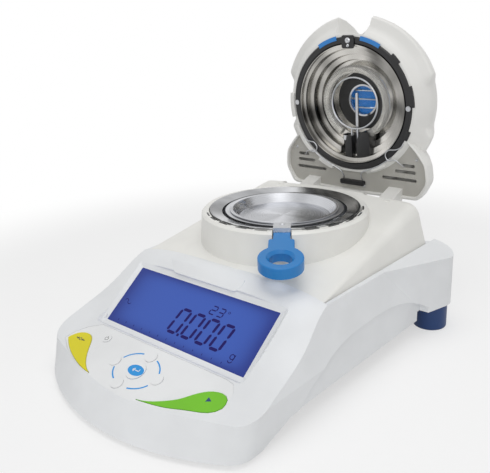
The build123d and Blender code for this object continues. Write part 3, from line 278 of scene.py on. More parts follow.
LID_MOUTH = (0, 109.76, 197.19)
LID_OPEN = 86.2
LID_CENTRE = tuple(c / 1000 for c in LID_MOUTH)
LID_TURN = (radians(LID_OPEN), 0, 0)
metals = {
    "ring_chrome": turned("ring_chrome", (0.70, 0.71, 0.73), 0.14, spread=0.06, relief=0.000001,
                          reflection_bands=((2, 0.6, 0.5), (5, 1.0, 0.35))),
    "steel": turned("steel", (0.56, 0.57, 0.59), 0.30, reflection_bands=((3, 0.0, 0.25),)),
    "pan_metal": turned("pan_metal", (0.62, 0.63, 0.66), 0.26, reflection_bands=((3, 1.2, 0.28), (7, 0.4, 0.12))),
    "cell_metal": turned("cell_metal", (0.62, 0.63, 0.65), 0.35),
    "reflector_metal": turned(
        "reflector_metal", (0.72, 0.70, 0.66), 0.20, LID_CENTRE, LID_TURN, relief=0.000002,
        reflection_bands=((2, 2.2, 0.45), (5, 0.3, 0.35), (11, 1.0, 0.2))),
    "copper": turned("copper", (0.60, 0.36, 0.24), 0.35),
}
print("metals:", ", ".join(metals))

# %% [markdown]
# ## Glass, circuit board and the lit display
#
# The window and the lamp tube are clear. The board is solder mask over a weave, and the display is a
# dark blue film over a back light, a little brighter in the middle than at its edges. It also grows
# brighter towards its right side, which is painted light falling from the right.

# %% Clear and lit finishes
window = Finish("window", Base_Color=(0.86, 0.93, 1.0, 1), Roughness=0.05, Transmission_Weight=1.0, IOR=1.12)
quartz = Finish(
    "quartz", Base_Color=(0.93, 0.92, 0.88, 1), Roughness=0.12, Transmission_Weight=0.75, IOR=1.45)
for clear in (window, quartz):
    *_, point = clear.place()
    clear.set("Roughness", 0.05 + clear.noise(point, 0.004) * 0.08)

board = Finish("board_green", Roughness=0.35, Coat_Weight=0.3)
x, y, z, point = board.place()
mask = board.noise(point, 0.003).ramp(0.45, 0.55)
board.set("Base Color", board.blend(mask, (0.008, 0.09, 0.035), (0.014, 0.13, 0.05)))
board.bump(board.noise(point, 0.001), 0.00005)

DISPLAY_CENTRE = (0, -130.9, 57.9)
DISPLAY_BACK = 37.0
GLASS = (157.0, 57.0)
half_width, half_height = (side / 2000 for side in GLASS)
lcd = Finish("lcd_blue", Roughness=0.3, Specular_IOR_Level=0.2)
centre = [c / 1000 for c in DISPLAY_CENTRE]
u, v, w, point = lcd.place(centre, (-radians(DISPLAY_BACK), 0, 0))
edge = (1 - (abs(u) / half_width).power(6)) * (1 - (abs(v) / half_height).power(6))
# The fall-off at the edges is the back light's; the rise towards the right is painted light from the right.
backlight_and_painted_light = edge * (0.82 + 0.18 * (u + half_width) / (2 * half_width))
fade = lcd.blend(backlight_and_painted_light.ramp(0.0, 1.0), (0.020, 0.036, 0.20), (0.040, 0.088, 0.36))
lcd.set("Base Color", fade)
lcd.set("Emission Color", fade)
lcd.set("Emission Strength", 0.3)
lcd.set("Roughness", 0.26 + lcd.noise(point, 0.0008) * 0.08)
ink = Finish("lcd_ink", Roughness=0.5, Specular_IOR_Level=0.1)
*_, point = ink.place()
ink.set("Base Color", ink.blend(ink.noise(point, 0.004), (0.016, 0.010, 0.105), (0.022, 0.016, 0.135)))
print("clear and lit finishes:", [finish.material.name for finish in (window, quartz, lcd, ink)])

# %% Give every node its finish
others = {"window": window, "quartz": quartz, "board_green": board, "lcd_blue": lcd}
finishes = {**plastics, **metals, **others}
slot_of = {part["node"]: part["material_slot"] for part in frame["record"]["subparts"]}
for name, node in nodes.items():
    finish = finishes[slot_of[name]]
    if not node.material_slots:
        node.data.materials.append(finish.material)
    for slot in node.material_slots:
        slot.material = finish.material
print("nodes finished:", len(nodes))

# %% [markdown]
# ## Pieces on the tilted planes
#
# The display, the keypad and the mouth of the lid each lie on a plane of their own. A print or a rim is
# easiest to draw flat, in millimetres across that plane, and then stood in place. One small class holds
# a plane, and every new piece passes through it, so nothing is fitted by eye.

# %% Planes and a maker of pieces
MM = 0.001


class Flat:
    """A plane with millimetres across it, and heights along its normal."""

    def __init__(self, origin, across, normal):
        self.origin = Vector(origin)
        self.across = Vector(across).normalized()
        self.normal = Vector(normal).normalized()
        self.up = self.normal.cross(self.across)

    def at(self, u, v, w=0.0):
        return (self.origin + self.across * u + self.up * v + self.normal * w) * MM

    def matrix(self):
        """The turn and shift that carry local metres onto the plane."""
        turn = Matrix((self.across, self.up, self.normal)).transposed().to_4x4()
        return Matrix.Translation(self.origin * MM) @ turn


def tilted(origin, degrees_back):
    lean = radians(degrees_back)
    return Flat(origin, (1, 0, 0), (0, -sin(lean), cos(lean)))


DISPLAY = tilted(DISPLAY_CENTRE, DISPLAY_BACK)
KEYPAD = tilted((0, -157.0, 43.0), 20.8)
lean = radians(LID_OPEN)
LID = Flat(LID_MOUTH, (-1, 0, 0), (0, sin(lean), cos(lean)))
UPRIGHT = Flat((0, 0, 0), (1, 0, 0), (0, 0, 1))


def make_piece(name, mesh, body, slot, replaced=(), smooth=0.0, finish=None):
    """Stands a finished mesh in the scene, with its body and its finish, which is the slot's finish unless
    one is given.
    """
    mesh.materials.clear()
    mesh.materials.append((finish or finishes[slot]).material)
    piece = bpy.data.objects.new(name, mesh)
    scene.collection.objects.link(piece)
    if smooth:
        mesh.shade_smooth()
        mesh.set_sharp_from_angle(angle=radians(smooth))
    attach(piece, body)
    if replaced:
        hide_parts(*replaced)
    return piece


def to_mesh(name, bm, bevel=0.0):
    """Closes a bmesh into a mesh with its normals outwards, and its top edges softened."""
    bmesh.ops.remove_doubles(bm, verts=bm.verts, dist=1e-7)
    bmesh.ops.recalc_face_normals(bm, faces=bm.faces)
    if bevel:
        sharp = [e for e in bm.edges if len(e.link_faces) == 2 and e.calc_face_angle(0) > 0.6]
        bmesh.ops.bevel(bm, geom=sharp, offset=bevel * MM, segments=2, profile=0.6, affect="EDGES")
        bmesh.ops.recalc_face_normals(bm, faces=bm.faces)
    mesh = bpy.data.meshes.new(name)
    bm.to_mesh(mesh)
    bm.free()
    return mesh


def bridge(bm, near, far, closed=True):
    """Faces between two lines of vertices, once round or from end to end."""
    count = len(near)
    for i in range(count if closed else count - 1):
        j = (i + 1) % count
        bm.faces.new((near[i], near[j], far[j], far[i]))


def height_at(height, u, v):
    return height(u, v) if callable(height) else height


def slabs(plane, outlines, low, high):
    """Flat slabs with the given outlines, from one height to another; a height may follow the place."""
    bm = bmesh.new()
    for outline in outlines:
        bottom = [bm.verts.new(plane.at(u, v, height_at(low, u, v))) for u, v in outline]
        top = [bm.verts.new(plane.at(u, v, height_at(high, u, v))) for u, v in outline]
        bm.faces.new(bottom)
        bm.faces.new(top)
        bridge(bm, bottom, top)
    return bm


def frame_of(plane, rings):
    """A closed frame swept through a section: each ring is an outline with its own height."""
    bm = bmesh.new()
    loops = [[bm.verts.new(plane.at(u, v, w)) for u, v in outline] for outline, w in rings]
    for loop, following in zip(loops, loops[1:] + loops[:1]):
        bridge(bm, loop, following)
    return bm


def rounded(width, height, radius, centre=(0, 0), steps=6):
    """A rectangle with round corners, as an outline."""
    outline = []
    for quarter, (sx, sy) in enumerate(((1, 1), (-1, 1), (-1, -1), (1, -1))):
        for step in range(steps + 1):
            angle = (quarter + step / steps) * pi / 2
            outline.append((
                centre[0] + sx * (width / 2 - radius) + radius * cos(angle),
                centre[1] + sy * (height / 2 - radius) + radius * sin(angle),
            ))
    return outline


def arc_band(centre, radius, width, start, span, steps=24):
    """A curved stroke of even width, as an outline."""
    return oval_band(centre, (radius, radius), width, start, span, steps)


def oval_band(centre, reach, width, start, span, steps=32):
    """A stroke of even width along an ellipse, as an outline; reach is its two half-lengths."""
    outer, inner = [], []
    for step in range(steps + 1):
        angle = radians(start + span * step / steps)
        for side, line in ((1, outer), (-1, inner)):
            line.append((centre[0] + (reach[0] + side * width / 2) * cos(angle),
                         centre[1] + (reach[1] + side * width / 2) * sin(angle)))
    return outer + inner[::-1]


def stroke(start, end, width):
    """A straight stroke, as an outline."""
    along = Vector(end) - Vector(start)
    side = Vector((-along.y, along.x)).normalized() * width / 2
    return [tuple(Vector(p) + s) for p, s in ((start, side), (end, side), (end, -side), (start, -side))]


def soften(corners, radius, steps=5):
    """Rounds every corner of an outline by about the given radius."""
    outline = []
    for i, corner in enumerate(corners):
        here = Vector(corner)
        before = (Vector(corners[i - 1]) - here).normalized() * radius
        after = (Vector(corners[(i + 1) % len(corners)]) - here).normalized() * radius
        for step in range(steps + 1):
            t = step / steps
            outline.append(tuple(here + before * (1 - t) ** 2 + after * t ** 2))
    return outline


print("display looks along", [round(c, 2) for c in DISPLAY.normal])

# %% [markdown]
# ## The frame round the display
#
# On the real panel a pale frame slopes down to the glass and hides the edge of the display module.
# It could be four bars, but then the corners show a joint. One section carried round two rounded
# rectangles gives a closed frame with clean corners.

# %% Display frame and the raised tab above it
RIM_REACH = 8.6
inner_edge = rounded(GLASS[0] - 0.6, GLASS[1] - 0.6, 0.6)
outer_edge = rounded(GLASS[0] + RIM_REACH, GLASS[1] + RIM_REACH, 1.6)
rim_rings = [
    (inner_edge, -1.5),
    (inner_edge, 0.15),
    (outer_edge, 2.0),
    (outer_edge, -1.5),
]
rim_mesh = to_mesh("display_rim", frame_of(DISPLAY, rim_rings))
display_rim = make_piece("display_rim", rim_mesh, "base", "housing")

panel_tree = BVHTree.FromPolygons(
    [v.co.copy() for v in nodes["base_cover"].data.vertices],
    [tuple(p.vertices) for p in nodes["base_cover"].data.polygons],
)


def panel_height(u, v):
    """How far the moulded panel stands above the display plane at one place, in millimetres."""
    hit = panel_tree.ray_cast(DISPLAY.at(u, v, 40), -DISPLAY.normal)[0]
    return (hit / MM - DISPLAY.at(u, v) / MM).dot(DISPLAY.normal) if hit else 0.0


TAB_BOTTOM, TAB_TOP = 31.6, 44.0
tab_outline = soften([(-38, TAB_BOTTOM), (33, TAB_BOTTOM), (36, TAB_TOP), (-50, TAB_TOP)], 4.0)
TAB_LOW, TAB_HIGH = 4.0, panel_height(-8, TAB_TOP) + 1.4


def tab_height(u, v):
    """The tab's face runs from the glass to just above the panel."""
    return TAB_LOW + (TAB_HIGH - TAB_LOW) * (v - TAB_BOTTOM) / (TAB_TOP - TAB_BOTTOM)


label_cover = make_piece(
    "label_cover",
    to_mesh("label_cover", slabs(DISPLAY, [tab_outline], 0.1, tab_height), bevel=0.5),
    "base", "housing", replaced=["label_tab"], smooth=35,
)
print("display frame and tab:", len(display_rim.data.polygons), len(label_cover.data.polygons))

# %% [markdown]
# ## The digits of the display
#
# A liquid crystal shows a digit as seven leaning strokes, dark on the lit ground. They are thin slabs on
# the glass, so that they stay sharp from every side. One table says which strokes a digit lights.

# %% Seven-stroke digits
LIT = {"0": "abcdef", "2": "abged", "3": "abgcd"}
LEAN = tan(radians(8))


def digit_strokes(character, left, low, width, height, thick):
    """The lit strokes of one digit, leaning to the right."""
    gap = thick * 0.22
    middle = low + height / 2
    ends = {
        "a": ((left, low + height), (left + width, low + height)),
        "g": ((left, middle), (left + width, middle)),
        "d": ((left, low), (left + width, low)),
        "b": ((left + width, middle), (left + width, low + height)),
        "c": ((left + width, low), (left + width, middle)),
        "f": ((left, middle), (left, low + height)),
        "e": ((left, low), (left, middle)),
    }
    outlines = []
    for letter in LIT[character]:
        start, end = (Vector(p) for p in ends[letter])
        along = (end - start).normalized()
        side = Vector((-along.y, along.x)) * thick / 2
        start, end = start + along * gap, end - along * gap
        near, far = start + along * thick / 2, end - along * thick / 2
        corners = [start, near - side, far - side, end, far + side, near + side]
        outlines.append([(c.x + (c.y - low) * LEAN, c.y) for c in corners])
    return outlines


strokes = []
for index in range(4):
    strokes += digit_strokes("0", -11.0 + index * 15.6, -17.2, 10.0, 22.0, 2.6)
strokes.append(rounded(2.4, 2.4, 0.5, (2.0, -17.4)))
for index, character in enumerate("23"):
    strokes += digit_strokes(character, 17.5 + index * 8.2, 8.6, 5.4, 7.4, 1.0)
strokes += [arc_band((60.2, -17.2), 2.0, 0.7, 0, 359), stroke((62.4, -15.0), (62.0, -20.0), 0.7)]
strokes.append(arc_band((60.0, -20.2), 2.0, 0.7, 200, 150))
strokes += [arc_band((36.0, 14.6), 0.9, 0.4, 0, 359)]
strokes += [arc_band((-71.0, -6.5), 2.2, 0.6, 10, 150), arc_band((-66.8, -6.0), 2.2, 0.6, 190, 150)]
lcd_digits = make_piece(
    "lcd_digits", to_mesh("lcd_digits", slabs(DISPLAY, strokes, 0.0, 0.06)), "base", "lcd_blue", finish=ink)
print("strokes on the display:", len(strokes))

# %% [markdown]
# ## Repeats with Geometry Nodes
#
# What repeats along a line is laid out by a node tree: it makes the points, sets one small bar on each,
# and joins the copies. The sizes are named inputs of the tree, so the same tree lays the marks of the
# display and the slats of the vent.

# %% A tree that lays bars in a row
def repeat_tree(name):
    tree = bpy.data.node_groups.new(name, "GeometryNodeTree")
    sockets = {}
    for label, kind, direction in (
        ("Geometry", "NodeSocketGeometry", "INPUT"),
        ("Count", "NodeSocketInt", "INPUT"),
        ("Reach", "NodeSocketFloat", "INPUT"),
        ("Bar", "NodeSocketVector", "INPUT"),
        ("Finish", "NodeSocketMaterial", "INPUT"),
        ("Geometry", "NodeSocketGeometry", "OUTPUT"),
    ):
        socket = tree.interface.new_socket(label, in_out=direction, socket_type=kind)
        if direction == "INPUT":
            sockets[label] = socket.identifier

    def add(kind, settings=None, links=None):
        node = tree.nodes.new(kind)
        for key, value in (settings or {}).items():
            setattr(node, key, value)
        for key, value in (links or {}).items():
            tree.links.new(value, node.inputs[key])
        return node

    inputs = add("NodeGroupInput").outputs
    step = add("ShaderNodeMath", {"operation": "DIVIDE"}, {0: inputs["Reach"], 1: inputs["Count"]})
    offset = add("ShaderNodeCombineXYZ", None, {"X": step.outputs[0]})
    layout = add("GeometryNodeMeshLine", {"mode": "OFFSET"},
                 {"Count": inputs["Count"], "Offset": offset.outputs[0]})
    bar = add("GeometryNodeMeshCube", None, {"Size": inputs["Bar"]})
    copies = add("GeometryNodeInstanceOnPoints", None,
                 {"Points": layout.outputs[0], "Instance": bar.outputs[0]})
    joined = add("GeometryNodeRealizeInstances", None, {"Geometry": copies.outputs[0]})
    finished = add("GeometryNodeSetMaterial", None,
                   {"Geometry": joined.outputs[0], "Material": inputs["Finish"]})
    add("NodeGroupOutput", None, {0: finished.outputs[0]})
    return tree, sockets


ROW_TREE, ROW_SOCKETS = repeat_tree("bars_in_a_row")


def lay_bars(name, plane, start, count, reach, bar, body, slot, finish=None, replaced=()):
    """Runs the tree once and keeps the result as a plain mesh, stood on a plane."""
    holder = bpy.data.objects.new(name + "_layout", bpy.data.meshes.new(name + "_layout"))
    scene.collection.objects.link(holder)
    modifier = holder.modifiers.new("repeat", "NODES")
    modifier.node_group = ROW_TREE
    modifier[ROW_SOCKETS["Count"]] = count
    modifier[ROW_SOCKETS["Reach"]] = reach * MM
    modifier[ROW_SOCKETS["Bar"]] = [side * MM for side in bar]
    modifier[ROW_SOCKETS["Finish"]] = finishes[slot].material
    done = holder.evaluated_get(bpy.context.evaluated_depsgraph_get())
    mesh = bpy.data.meshes.new_from_object(done)
    mesh.transform(plane.matrix() @ Matrix.Translation([c * MM for c in start]))
    bpy.data.objects.remove(holder)
    return make_piece(name, mesh, body, slot, replaced, finish=finish)


lcd_ticks = lay_bars(
    "lcd_ticks", DISPLAY, (-66, -24.4, 0.03), 13, 130, (0.5, 1.6, 0.05), "base", "lcd_blue", ink)
print("marks along the display:", len(lcd_ticks.data.polygons) // 6)

# %% [markdown]
# ## The print on the keypad
#
# The keypad is one printed sheet over dome switches. Four thin arcs join the keys round the centre. The
# print could be a colour in the sheet's material, but thin slabs keep its edges as crisp as ink.

# %% Arcs and marks on the keypad
CENTRE = (-3.0, -31.0)
ARC_ANGLES = ((19, 46), (107, 54), (197, 40), (285, 52))
arcs = [oval_band(CENTRE, (22.0, 16.6), 1.2, start, span) for start, span in ARC_ANGLES]


def print_on_keys(name, outlines, low, high, body, slot):
    """A thin print on the keypad's plane; the heights are above the sheet."""
    return make_piece(name, to_mesh(name, slabs(KEYPAD, outlines, low, high)), body, slot)


print_on_keys("keypad_arcs", arcs, 0.0, 0.05, "base", "key_blue")

RISE = 0.4  # of the keys above the sheet
for name, (u, v, radius) in {
    "print_key": (-28.5, -31.0, 5.0), "view_key": (-1.4, -15.0, 5.0), "setting_key": (20.0, -30.0, 5.0),
    "test_key": (-8.5, -47.0, 5.0), "power_key": (-55.0, -16.5, 4.0),
}.items():
    disc = rounded(2 * radius + 0.5, 2 * radius + 0.5, radius + 0.24, (u, v), 12)
    print_on_keys(name + "_top", [disc], RISE - 0.1, RISE + 0.03, name, "sheet_white")

power_mark = [arc_band((-55.0, -16.7), 1.7, 0.4, 120, 300), stroke((-55.0, -16.0), (-55.0, -13.9), 0.4)]
print_on_keys("power_mark", power_mark, RISE, RISE + 0.06, "power_key", "module_grey")
disc = rounded(16.9, 16.9, 8.44, CENTRE, 12)
print_on_keys("enter_key_top", [disc], RISE - 0.1, RISE + 0.03, "enter_key", "sheet_white")
turns = [2 * pi * k / 64 for k in range(64)]
oval = [(CENTRE[0] + 8.1 * cos(turn), CENTRE[1] + 5.0 * sin(turn)) for turn in turns]
print_on_keys("enter_oval", [oval], RISE, RISE + 0.12, "enter_key", "key_blue")
enter_mark = [
    stroke((-6.5, -31.0), (0.2, -31.0), 0.7), stroke((-6.4, -31.0), (-4.4, -29.4), 0.7),
    stroke((-6.4, -31.0), (-4.4, -32.6), 0.7), stroke((0.2, -31.2), (0.2, -28.9), 0.7),
]
print_on_keys("enter_mark", enter_mark, RISE + 0.1, RISE + 0.16, "enter_key", "key_white")
tare_mark = [stroke((-84, -27.4), (-81.6, -27.4), 0.9), stroke((-75.6, -27.4), (-73.2, -27.4), 0.9)]
tare_mark += [[(-81.8, -28.8), (-80.2, -27.4), (-81.8, -26.0)]]
tare_mark += [[(-75.4, -28.8), (-75.4, -26.0), (-77.0, -27.4)]]
tare_mark += [arc_band((-78.6, -27.4), 1.2, 0.6, 0, 359)]
print_on_keys("tare_mark", tare_mark, RISE, RISE + 0.05, "tare_key", "module_grey")
start_mark = [[(69.0, -29.0), (69.0, -24.6), (73.2, -26.8)]]
print_on_keys("start_mark", start_mark, RISE, RISE + 0.05, "start_key", "foot_blue")
print("keypad arcs:", len(arcs))

# %% [markdown]
# ## The lid
#
# The real lid is a deep dome with two wide wings, a finger notch between them, and a tail towards the
# hinge. Its lip slopes straight from the black ring to the wings. A dome could be sculpted, but it
# follows a rule: each direction round the axis has its own section. So the dome is a grid of sections,
# outside and inside, with the wings and the notch worked into the radius. The grid is made for the half
# away from the hinge and mirrored, so wings and notch repeat on the hinge side, mostly under the tail.

# %% Dome with wings and notch
NOTCH_HALF, NOTCH_SIDE, NOTCH_LEVEL, NOTCH_FALL = 15.0, 4.0, 69.3, 0.2
WING_FROM, WING_FULL = 14.0, 21.0


def smooth_step(value, low, high):
    share = min(1.0, max(0.0, (value - low) / (high - low)))
    return share * share * (3 - 2 * share)


def wing(angle):
    """How far the wing stands out in one direction, from 0 to 1; both sides are alike."""
    if angle > 90:
        angle = 180 - angle
    return smooth_step(angle, WING_FROM, WING_FULL)


def notch_level(u, level):
    """How high the lid reaches above its axis: low in the notch, free beyond its steep sides."""
    beyond = abs(u) - NOTCH_HALF
    return level + 16 * smooth_step(beyond, 0, NOTCH_SIDE) + 4 * max(0.0, beyond - NOTCH_SIDE)


def dome_ring(angle, outside):
    """The section of the dome in one direction, from the lip to the middle of its back."""
    share = wing(angle)
    if outside:
        section = [
            (68.3, 0.8), (69.6, 1.4), (73.0, 5.4), (77.0 + 1.0 * share, 10.8), (77.4 + 6.4 * share, 11.6),
            (78.0 + 7.1 * share, 12.6), (79.0 + 6.8 * share, 15.0), (79.4 + 5.0 * share, 20.0),
            (78.2 + 3.3 * share, 27.0), (75.4 + 1.8 * share, 34.0), (71.2 + 0.6 * share, 41.0),
            (66.0, 48.0), (59.0, 54.5), (48.0, 59.2), (32.0, 61.2), (20.0, 61.6),
        ]
        level = NOTCH_LEVEL
    else:
        section = [
            (66.8, 0.8), (66.8, 4.0), (71.0, 10.0), (75.0, 17.0), (74.6, 21.0), (73.2, 27.0), (71.2, 32.0),
            (68.2, 39.0), (63.6, 46.0), (57.0, 52.0), (46.6, 56.8), (31.0, 58.8), (20.0, 59.2),
        ]
        level = NOTCH_LEVEL - 2.4
    ring = []
    for radius, depth in section:
        u, v = radius * cos(radians(angle)), radius * sin(radians(angle))
        if v > 0:
            v = min(v, notch_level(u, level - NOTCH_FALL * depth))
        ring.append((u, v, depth))
    return ring


def dome_mesh(steps=360):
    bm = bmesh.new()
    grids = []
    for outside in (True, False):
        grid = []
        for step in range(steps):
            angle = 360 * step / steps
            side = 1 if angle <= 180 else -1
            ring = dome_ring(angle if side > 0 else 360 - angle, outside)
            grid.append([bm.verts.new(LID.at(u, v * side, w)) for u, v, w in ring])
        grids.append(grid)
    for grid in grids:
        for step in range(steps):
            bridge(bm, grid[step], grid[(step + 1) % steps], closed=False)
    outer, inner = grids
    for step in range(steps):
        following = (step + 1) % steps
        for end in (0, -1):
            bm.faces.new((outer[step][end], outer[following][end], inner[following][end], inner[step][end]))
    return to_mesh("lid_dome", bm)


# The tail of the lid seen from its mouth, one side of it, in millimetres
TAIL = ((58, -28), (71, -40), (81.5, -54), (83.5, -72), (74, -90))


def tail_line(shrink, inset):
    """The closed outline of the tail, drawn in by a share and by a wall."""
    right = [(u * (1 - shrink) - inset, v * (1 - shrink * 0.6) + (inset if v < -80 else 0)) for u, v in TAIL]
    corners = right + [(0, -92 * (1 - shrink * 0.6) + inset)] + [(-u, v) for u, v in reversed(right)]
    corners.append((0, -28))
    return soften(corners, 5.0)


def tail_mesh():
    """An open box with sloping walls: outside and inside are joined at the rim."""
    bm = bmesh.new()
    layers = []
    for shrink, inset, depth in (
        (0.07, 0.0, 22.0), (0.01, 0.0, 15.0), (0.0, 0.0, 7.0), (0.0, 0.0, 1.6), (0.0, 1.0, 1.0),
        (0.0, 2.2, 1.0), (0.0, 2.6, 1.8), (0.0, 2.6, 7.0), (0.03, 2.6, 19.5),
    ):
        layers.append([bm.verts.new(LID.at(u, v, depth)) for u, v in tail_line(shrink, inset)])
    for near, far in zip(layers, layers[1:]):
        bridge(bm, near, far)
    bm.faces.new(layers[0])
    bm.faces.new(layers[-1])
    return to_mesh("lid_tail", bm)


def cut(target, cutter):
    """Applies one exact boolean and gives back a plain mesh."""
    holder = bpy.data.objects.new("cut_holder", target)
    other = bpy.data.objects.new("cut_tool", cutter)
    for item in (holder, other):
        scene.collection.objects.link(item)
    modifier = holder.modifiers.new("cut", "BOOLEAN")
    modifier.operation = "DIFFERENCE"
    modifier.solver = "EXACT"
    modifier.object = other
    result = bpy.data.meshes.new_from_object(holder.evaluated_get(bpy.context.evaluated_depsgraph_get()))
    for item in (holder, other):
        bpy.data.objects.remove(item)
    return result


def turned_mesh(name, plane, section, steps=96):
    """A closed section turned round the normal of a plane; points on the axis become poles."""
    bm = bmesh.new()
    columns = []
    for step in range(steps):
        angle = 2 * pi * step / steps
        columns.append([bm.verts.new(plane.at(r * cos(angle), r * sin(angle), w)) for r, w in section])
    for step in range(steps):
        bridge(bm, columns[step], columns[(step + 1) % steps])
    return to_mesh(name, bm)


dome_space = turned_mesh("dome_space", LID, [
    (0.001, -3), (66.0, -3), (67.5, 1.2), (76.6, 12.4), (77.0, 17), (73.6, 30), (65.2, 47.4),
    (49.4, 58.4), (0.001, 61.2),
])
lid_dome = make_piece("lid_dome", dome_mesh(), "lid", "lid_white", replaced=["lid_shell"], smooth=40)
lid_tail = make_piece(
    "lid_tail", cut(tail_mesh(), dome_space), "lid", "lid_white", replaced=["lid_shell"], smooth=35)

panel_plate = to_mesh("tail_plate", slabs(LID, [tail_line(0.0, 2.5)], 4.6, 6.6))
panel_plate = cut(panel_plate, dome_space)
slots = []
for side in (-1, 1):
    for v, inner, outer in ((-57, 55, 68), (-63.5, 47, 69), (-71.5, 33, 70)):
        slots.append(rounded(outer - inner, 3.4, 1.6, (side * (inner + outer) / 2, v)))
panel_plate = cut(panel_plate, to_mesh("slot_tool", slabs(LID, slots, 4, 10)))
make_piece("tail_panel", panel_plate, "lid", "lid_grey", replaced=["lid_inner_panel"])

# Hinge arms: one side view of the arm, drawn across the lid's Y and depth, made twice
arm_side = [(-102.0, -21.1), (-100.0, -4.0), (-90.0, 5.6), (-80.5, 5.6), (-82.0, 0.0), (-87.8, -21.1)]
ARM_HALF, ARM_X, KNUCKLE = 7.5, 48, 7.5
HINGE_V, HINGE_W = -95, -21.1
for side in (-1, 1):
    bm = bmesh.new()
    turns = [2 * pi * k / 32 for k in range(32)]
    knuckle = [(HINGE_V + KNUCKLE * cos(turn), HINGE_W + KNUCKLE * sin(turn)) for turn in turns]
    for outline in (arm_side, knuckle):
        rings = []
        for u in (side * ARM_X - ARM_HALF, side * ARM_X + ARM_HALF):
            rings.append([bm.verts.new(LID.at(u, v, w)) for v, w in outline])
        bm.faces.new(rings[0])
        bm.faces.new(rings[1])
        bridge(bm, *rings)
    name = "left_hinge_arm" if side > 0 else "right_hinge_arm"
    make_piece(name, to_mesh(name, bm), "lid", "lid_white", replaced=["lid_shell"], smooth=35)
print("dome faces:", len(lid_dome.data.polygons), "tail faces:", len(lid_tail.data.polygons))

# %% [markdown]
# ## The rim of the lid
#
# The black ring carries a boss with the top screw, blue arcs beside it, and small tabs round its edge.
# They are short curved slabs on the ring's own plane, so they sit on it from every side.

# %% Boss, arcs and tabs on the ring
def lid_slabs(name, outlines, low, high, bevel, slot, replaced=()):
    """Soft-edged slabs on the plane of the lid's mouth; negative heights stand towards the chamber."""
    mesh = to_mesh(name, slabs(LID, outlines, low, high), bevel=bevel)
    return make_piece(name, mesh, "lid", slot, replaced, smooth=30)


boss = soften([(-6.8, 55.5), (6.8, 55.5), (6.8, 68.0), (-6.8, 68.0)], 2.2)
lid_slabs("ring_boss", [boss], -1.2, -0.02, 0.3, "black")
lid_arcs = [arc_band((0, 0), 66.2, 4.2, start, 19, 16) for start in (59.5, 101.5)]
lid_slabs("lid_arcs", lid_arcs, -0.6, -0.03, 0.2, "vent_blue", ["lip_arcs"])
DARK_ANGLES = ((133, 9), (162, 17), (199, 8))
dark_tabs = [arc_band((0, 0), 67.2, 4.0, start, span, 8) for start, span in DARK_ANGLES]
lid_slabs("dark_tabs", dark_tabs, -0.6, 1.6, 0.3, "black")
PALE_ANGLES = ((-13, 21), (-47, 26), (-72, 15))
pale_tabs = [arc_band((0, 0), 69.4, 4.6, start, span, 12) for start, span in PALE_ANGLES]
pale_tabs += [arc_band((0, 0), 69.0, 3.4, 236, 14, 8)]
lid_slabs("pale_tabs", pale_tabs, -1.4, 3.0, 0.5, "lid_white")
print("tabs:", len(dark_tabs) + len(pale_tabs))

# %% [markdown]
# ## Screws and bent wires
#
# A domed screw and a smaller stud hold the boss, four screws hold the panel in the tail, and bent steel
# wires hang at the foot of the ring. A wire bent on a mandrel has no corners, so each one is a smooth
# curve with a round section, and a string of straight rods would show its joints.

# %% Screw heads and wires
def screw_heads(name, places, radius, low):
    """Domed heads on the plane of the lid, all in one mesh; low is the height of their seat."""
    bm = bmesh.new()
    for u, v in places:
        spot = Flat(LID.at(u, v) / MM, LID.across, LID.normal)
        section = [
            (0.4, low - 0.5), (radius * 0.6, low - 0.9), (radius, low - 0.3),
            (radius, low + 0.4), (0.4, low + 0.4),
        ]
        head = turned_mesh(name, spot, section, 24)
        bm.from_mesh(head)
        bpy.data.meshes.remove(head)
    return make_piece(name, to_mesh(name, bm), "lid", "steel", smooth=30)


screw_heads("boss_screw", [(0, 63.2)], 2.7, -1.2)
screw_heads("boss_stud", [(0, 58.2)], 1.5, -1.2)
screw_heads("tail_screws", [(-12.5, -84), (12.5, -84), (-70, -50), (70, -50)], 1.5, 4.6)


def wires(name, routes, thick):
    """Bent wires: each route is a smooth curve with a round section, kept as one plain mesh."""
    line = bpy.data.curves.new(name, "CURVE")
    line.dimensions = "3D"
    line.bevel_depth = thick / 2 * MM
    line.bevel_resolution = 3
    line.use_fill_caps = True
    for route in routes:
        spline = line.splines.new("NURBS")
        spline.points.add(len(route) - 1)
        for point, place in zip(spline.points, route):
            point.co = (*LID.at(*place), 1)
        spline.order_u = 3
        spline.use_endpoint_u = True
    holder = bpy.data.objects.new(name + "_line", line)
    scene.collection.objects.link(holder)
    mesh = bpy.data.meshes.new_from_object(holder.evaluated_get(bpy.context.evaluated_depsgraph_get()))
    bpy.data.objects.remove(holder)
    return make_piece(name, mesh, "lid", "steel", smooth=40)


clip_routes = []
for side in (-1, 1):
    clip_routes.append([(side * u, v, w) for u, v, w in (
        (58, -34, 0.5), (57, -38, -0.8), (50, -41, -1.4), (43, -41, -1.4), (39, -47, -1.4), (43, -53, -1.4),
        (50, -50, -1.4), (55, -54, -0.6), (58, -58, 3.0))])
    clip_routes.append([(side * u, v, w) for u, v, w in (
        (46, -49, -1.0), (36, -57, -1.4), (24, -63, -1.4), (14, -67, -1.0), (10, -72, 1.0), (11, -78, 4.4))])
wires("window_wires", clip_routes, 1.2)
print("wires:", len(clip_routes))
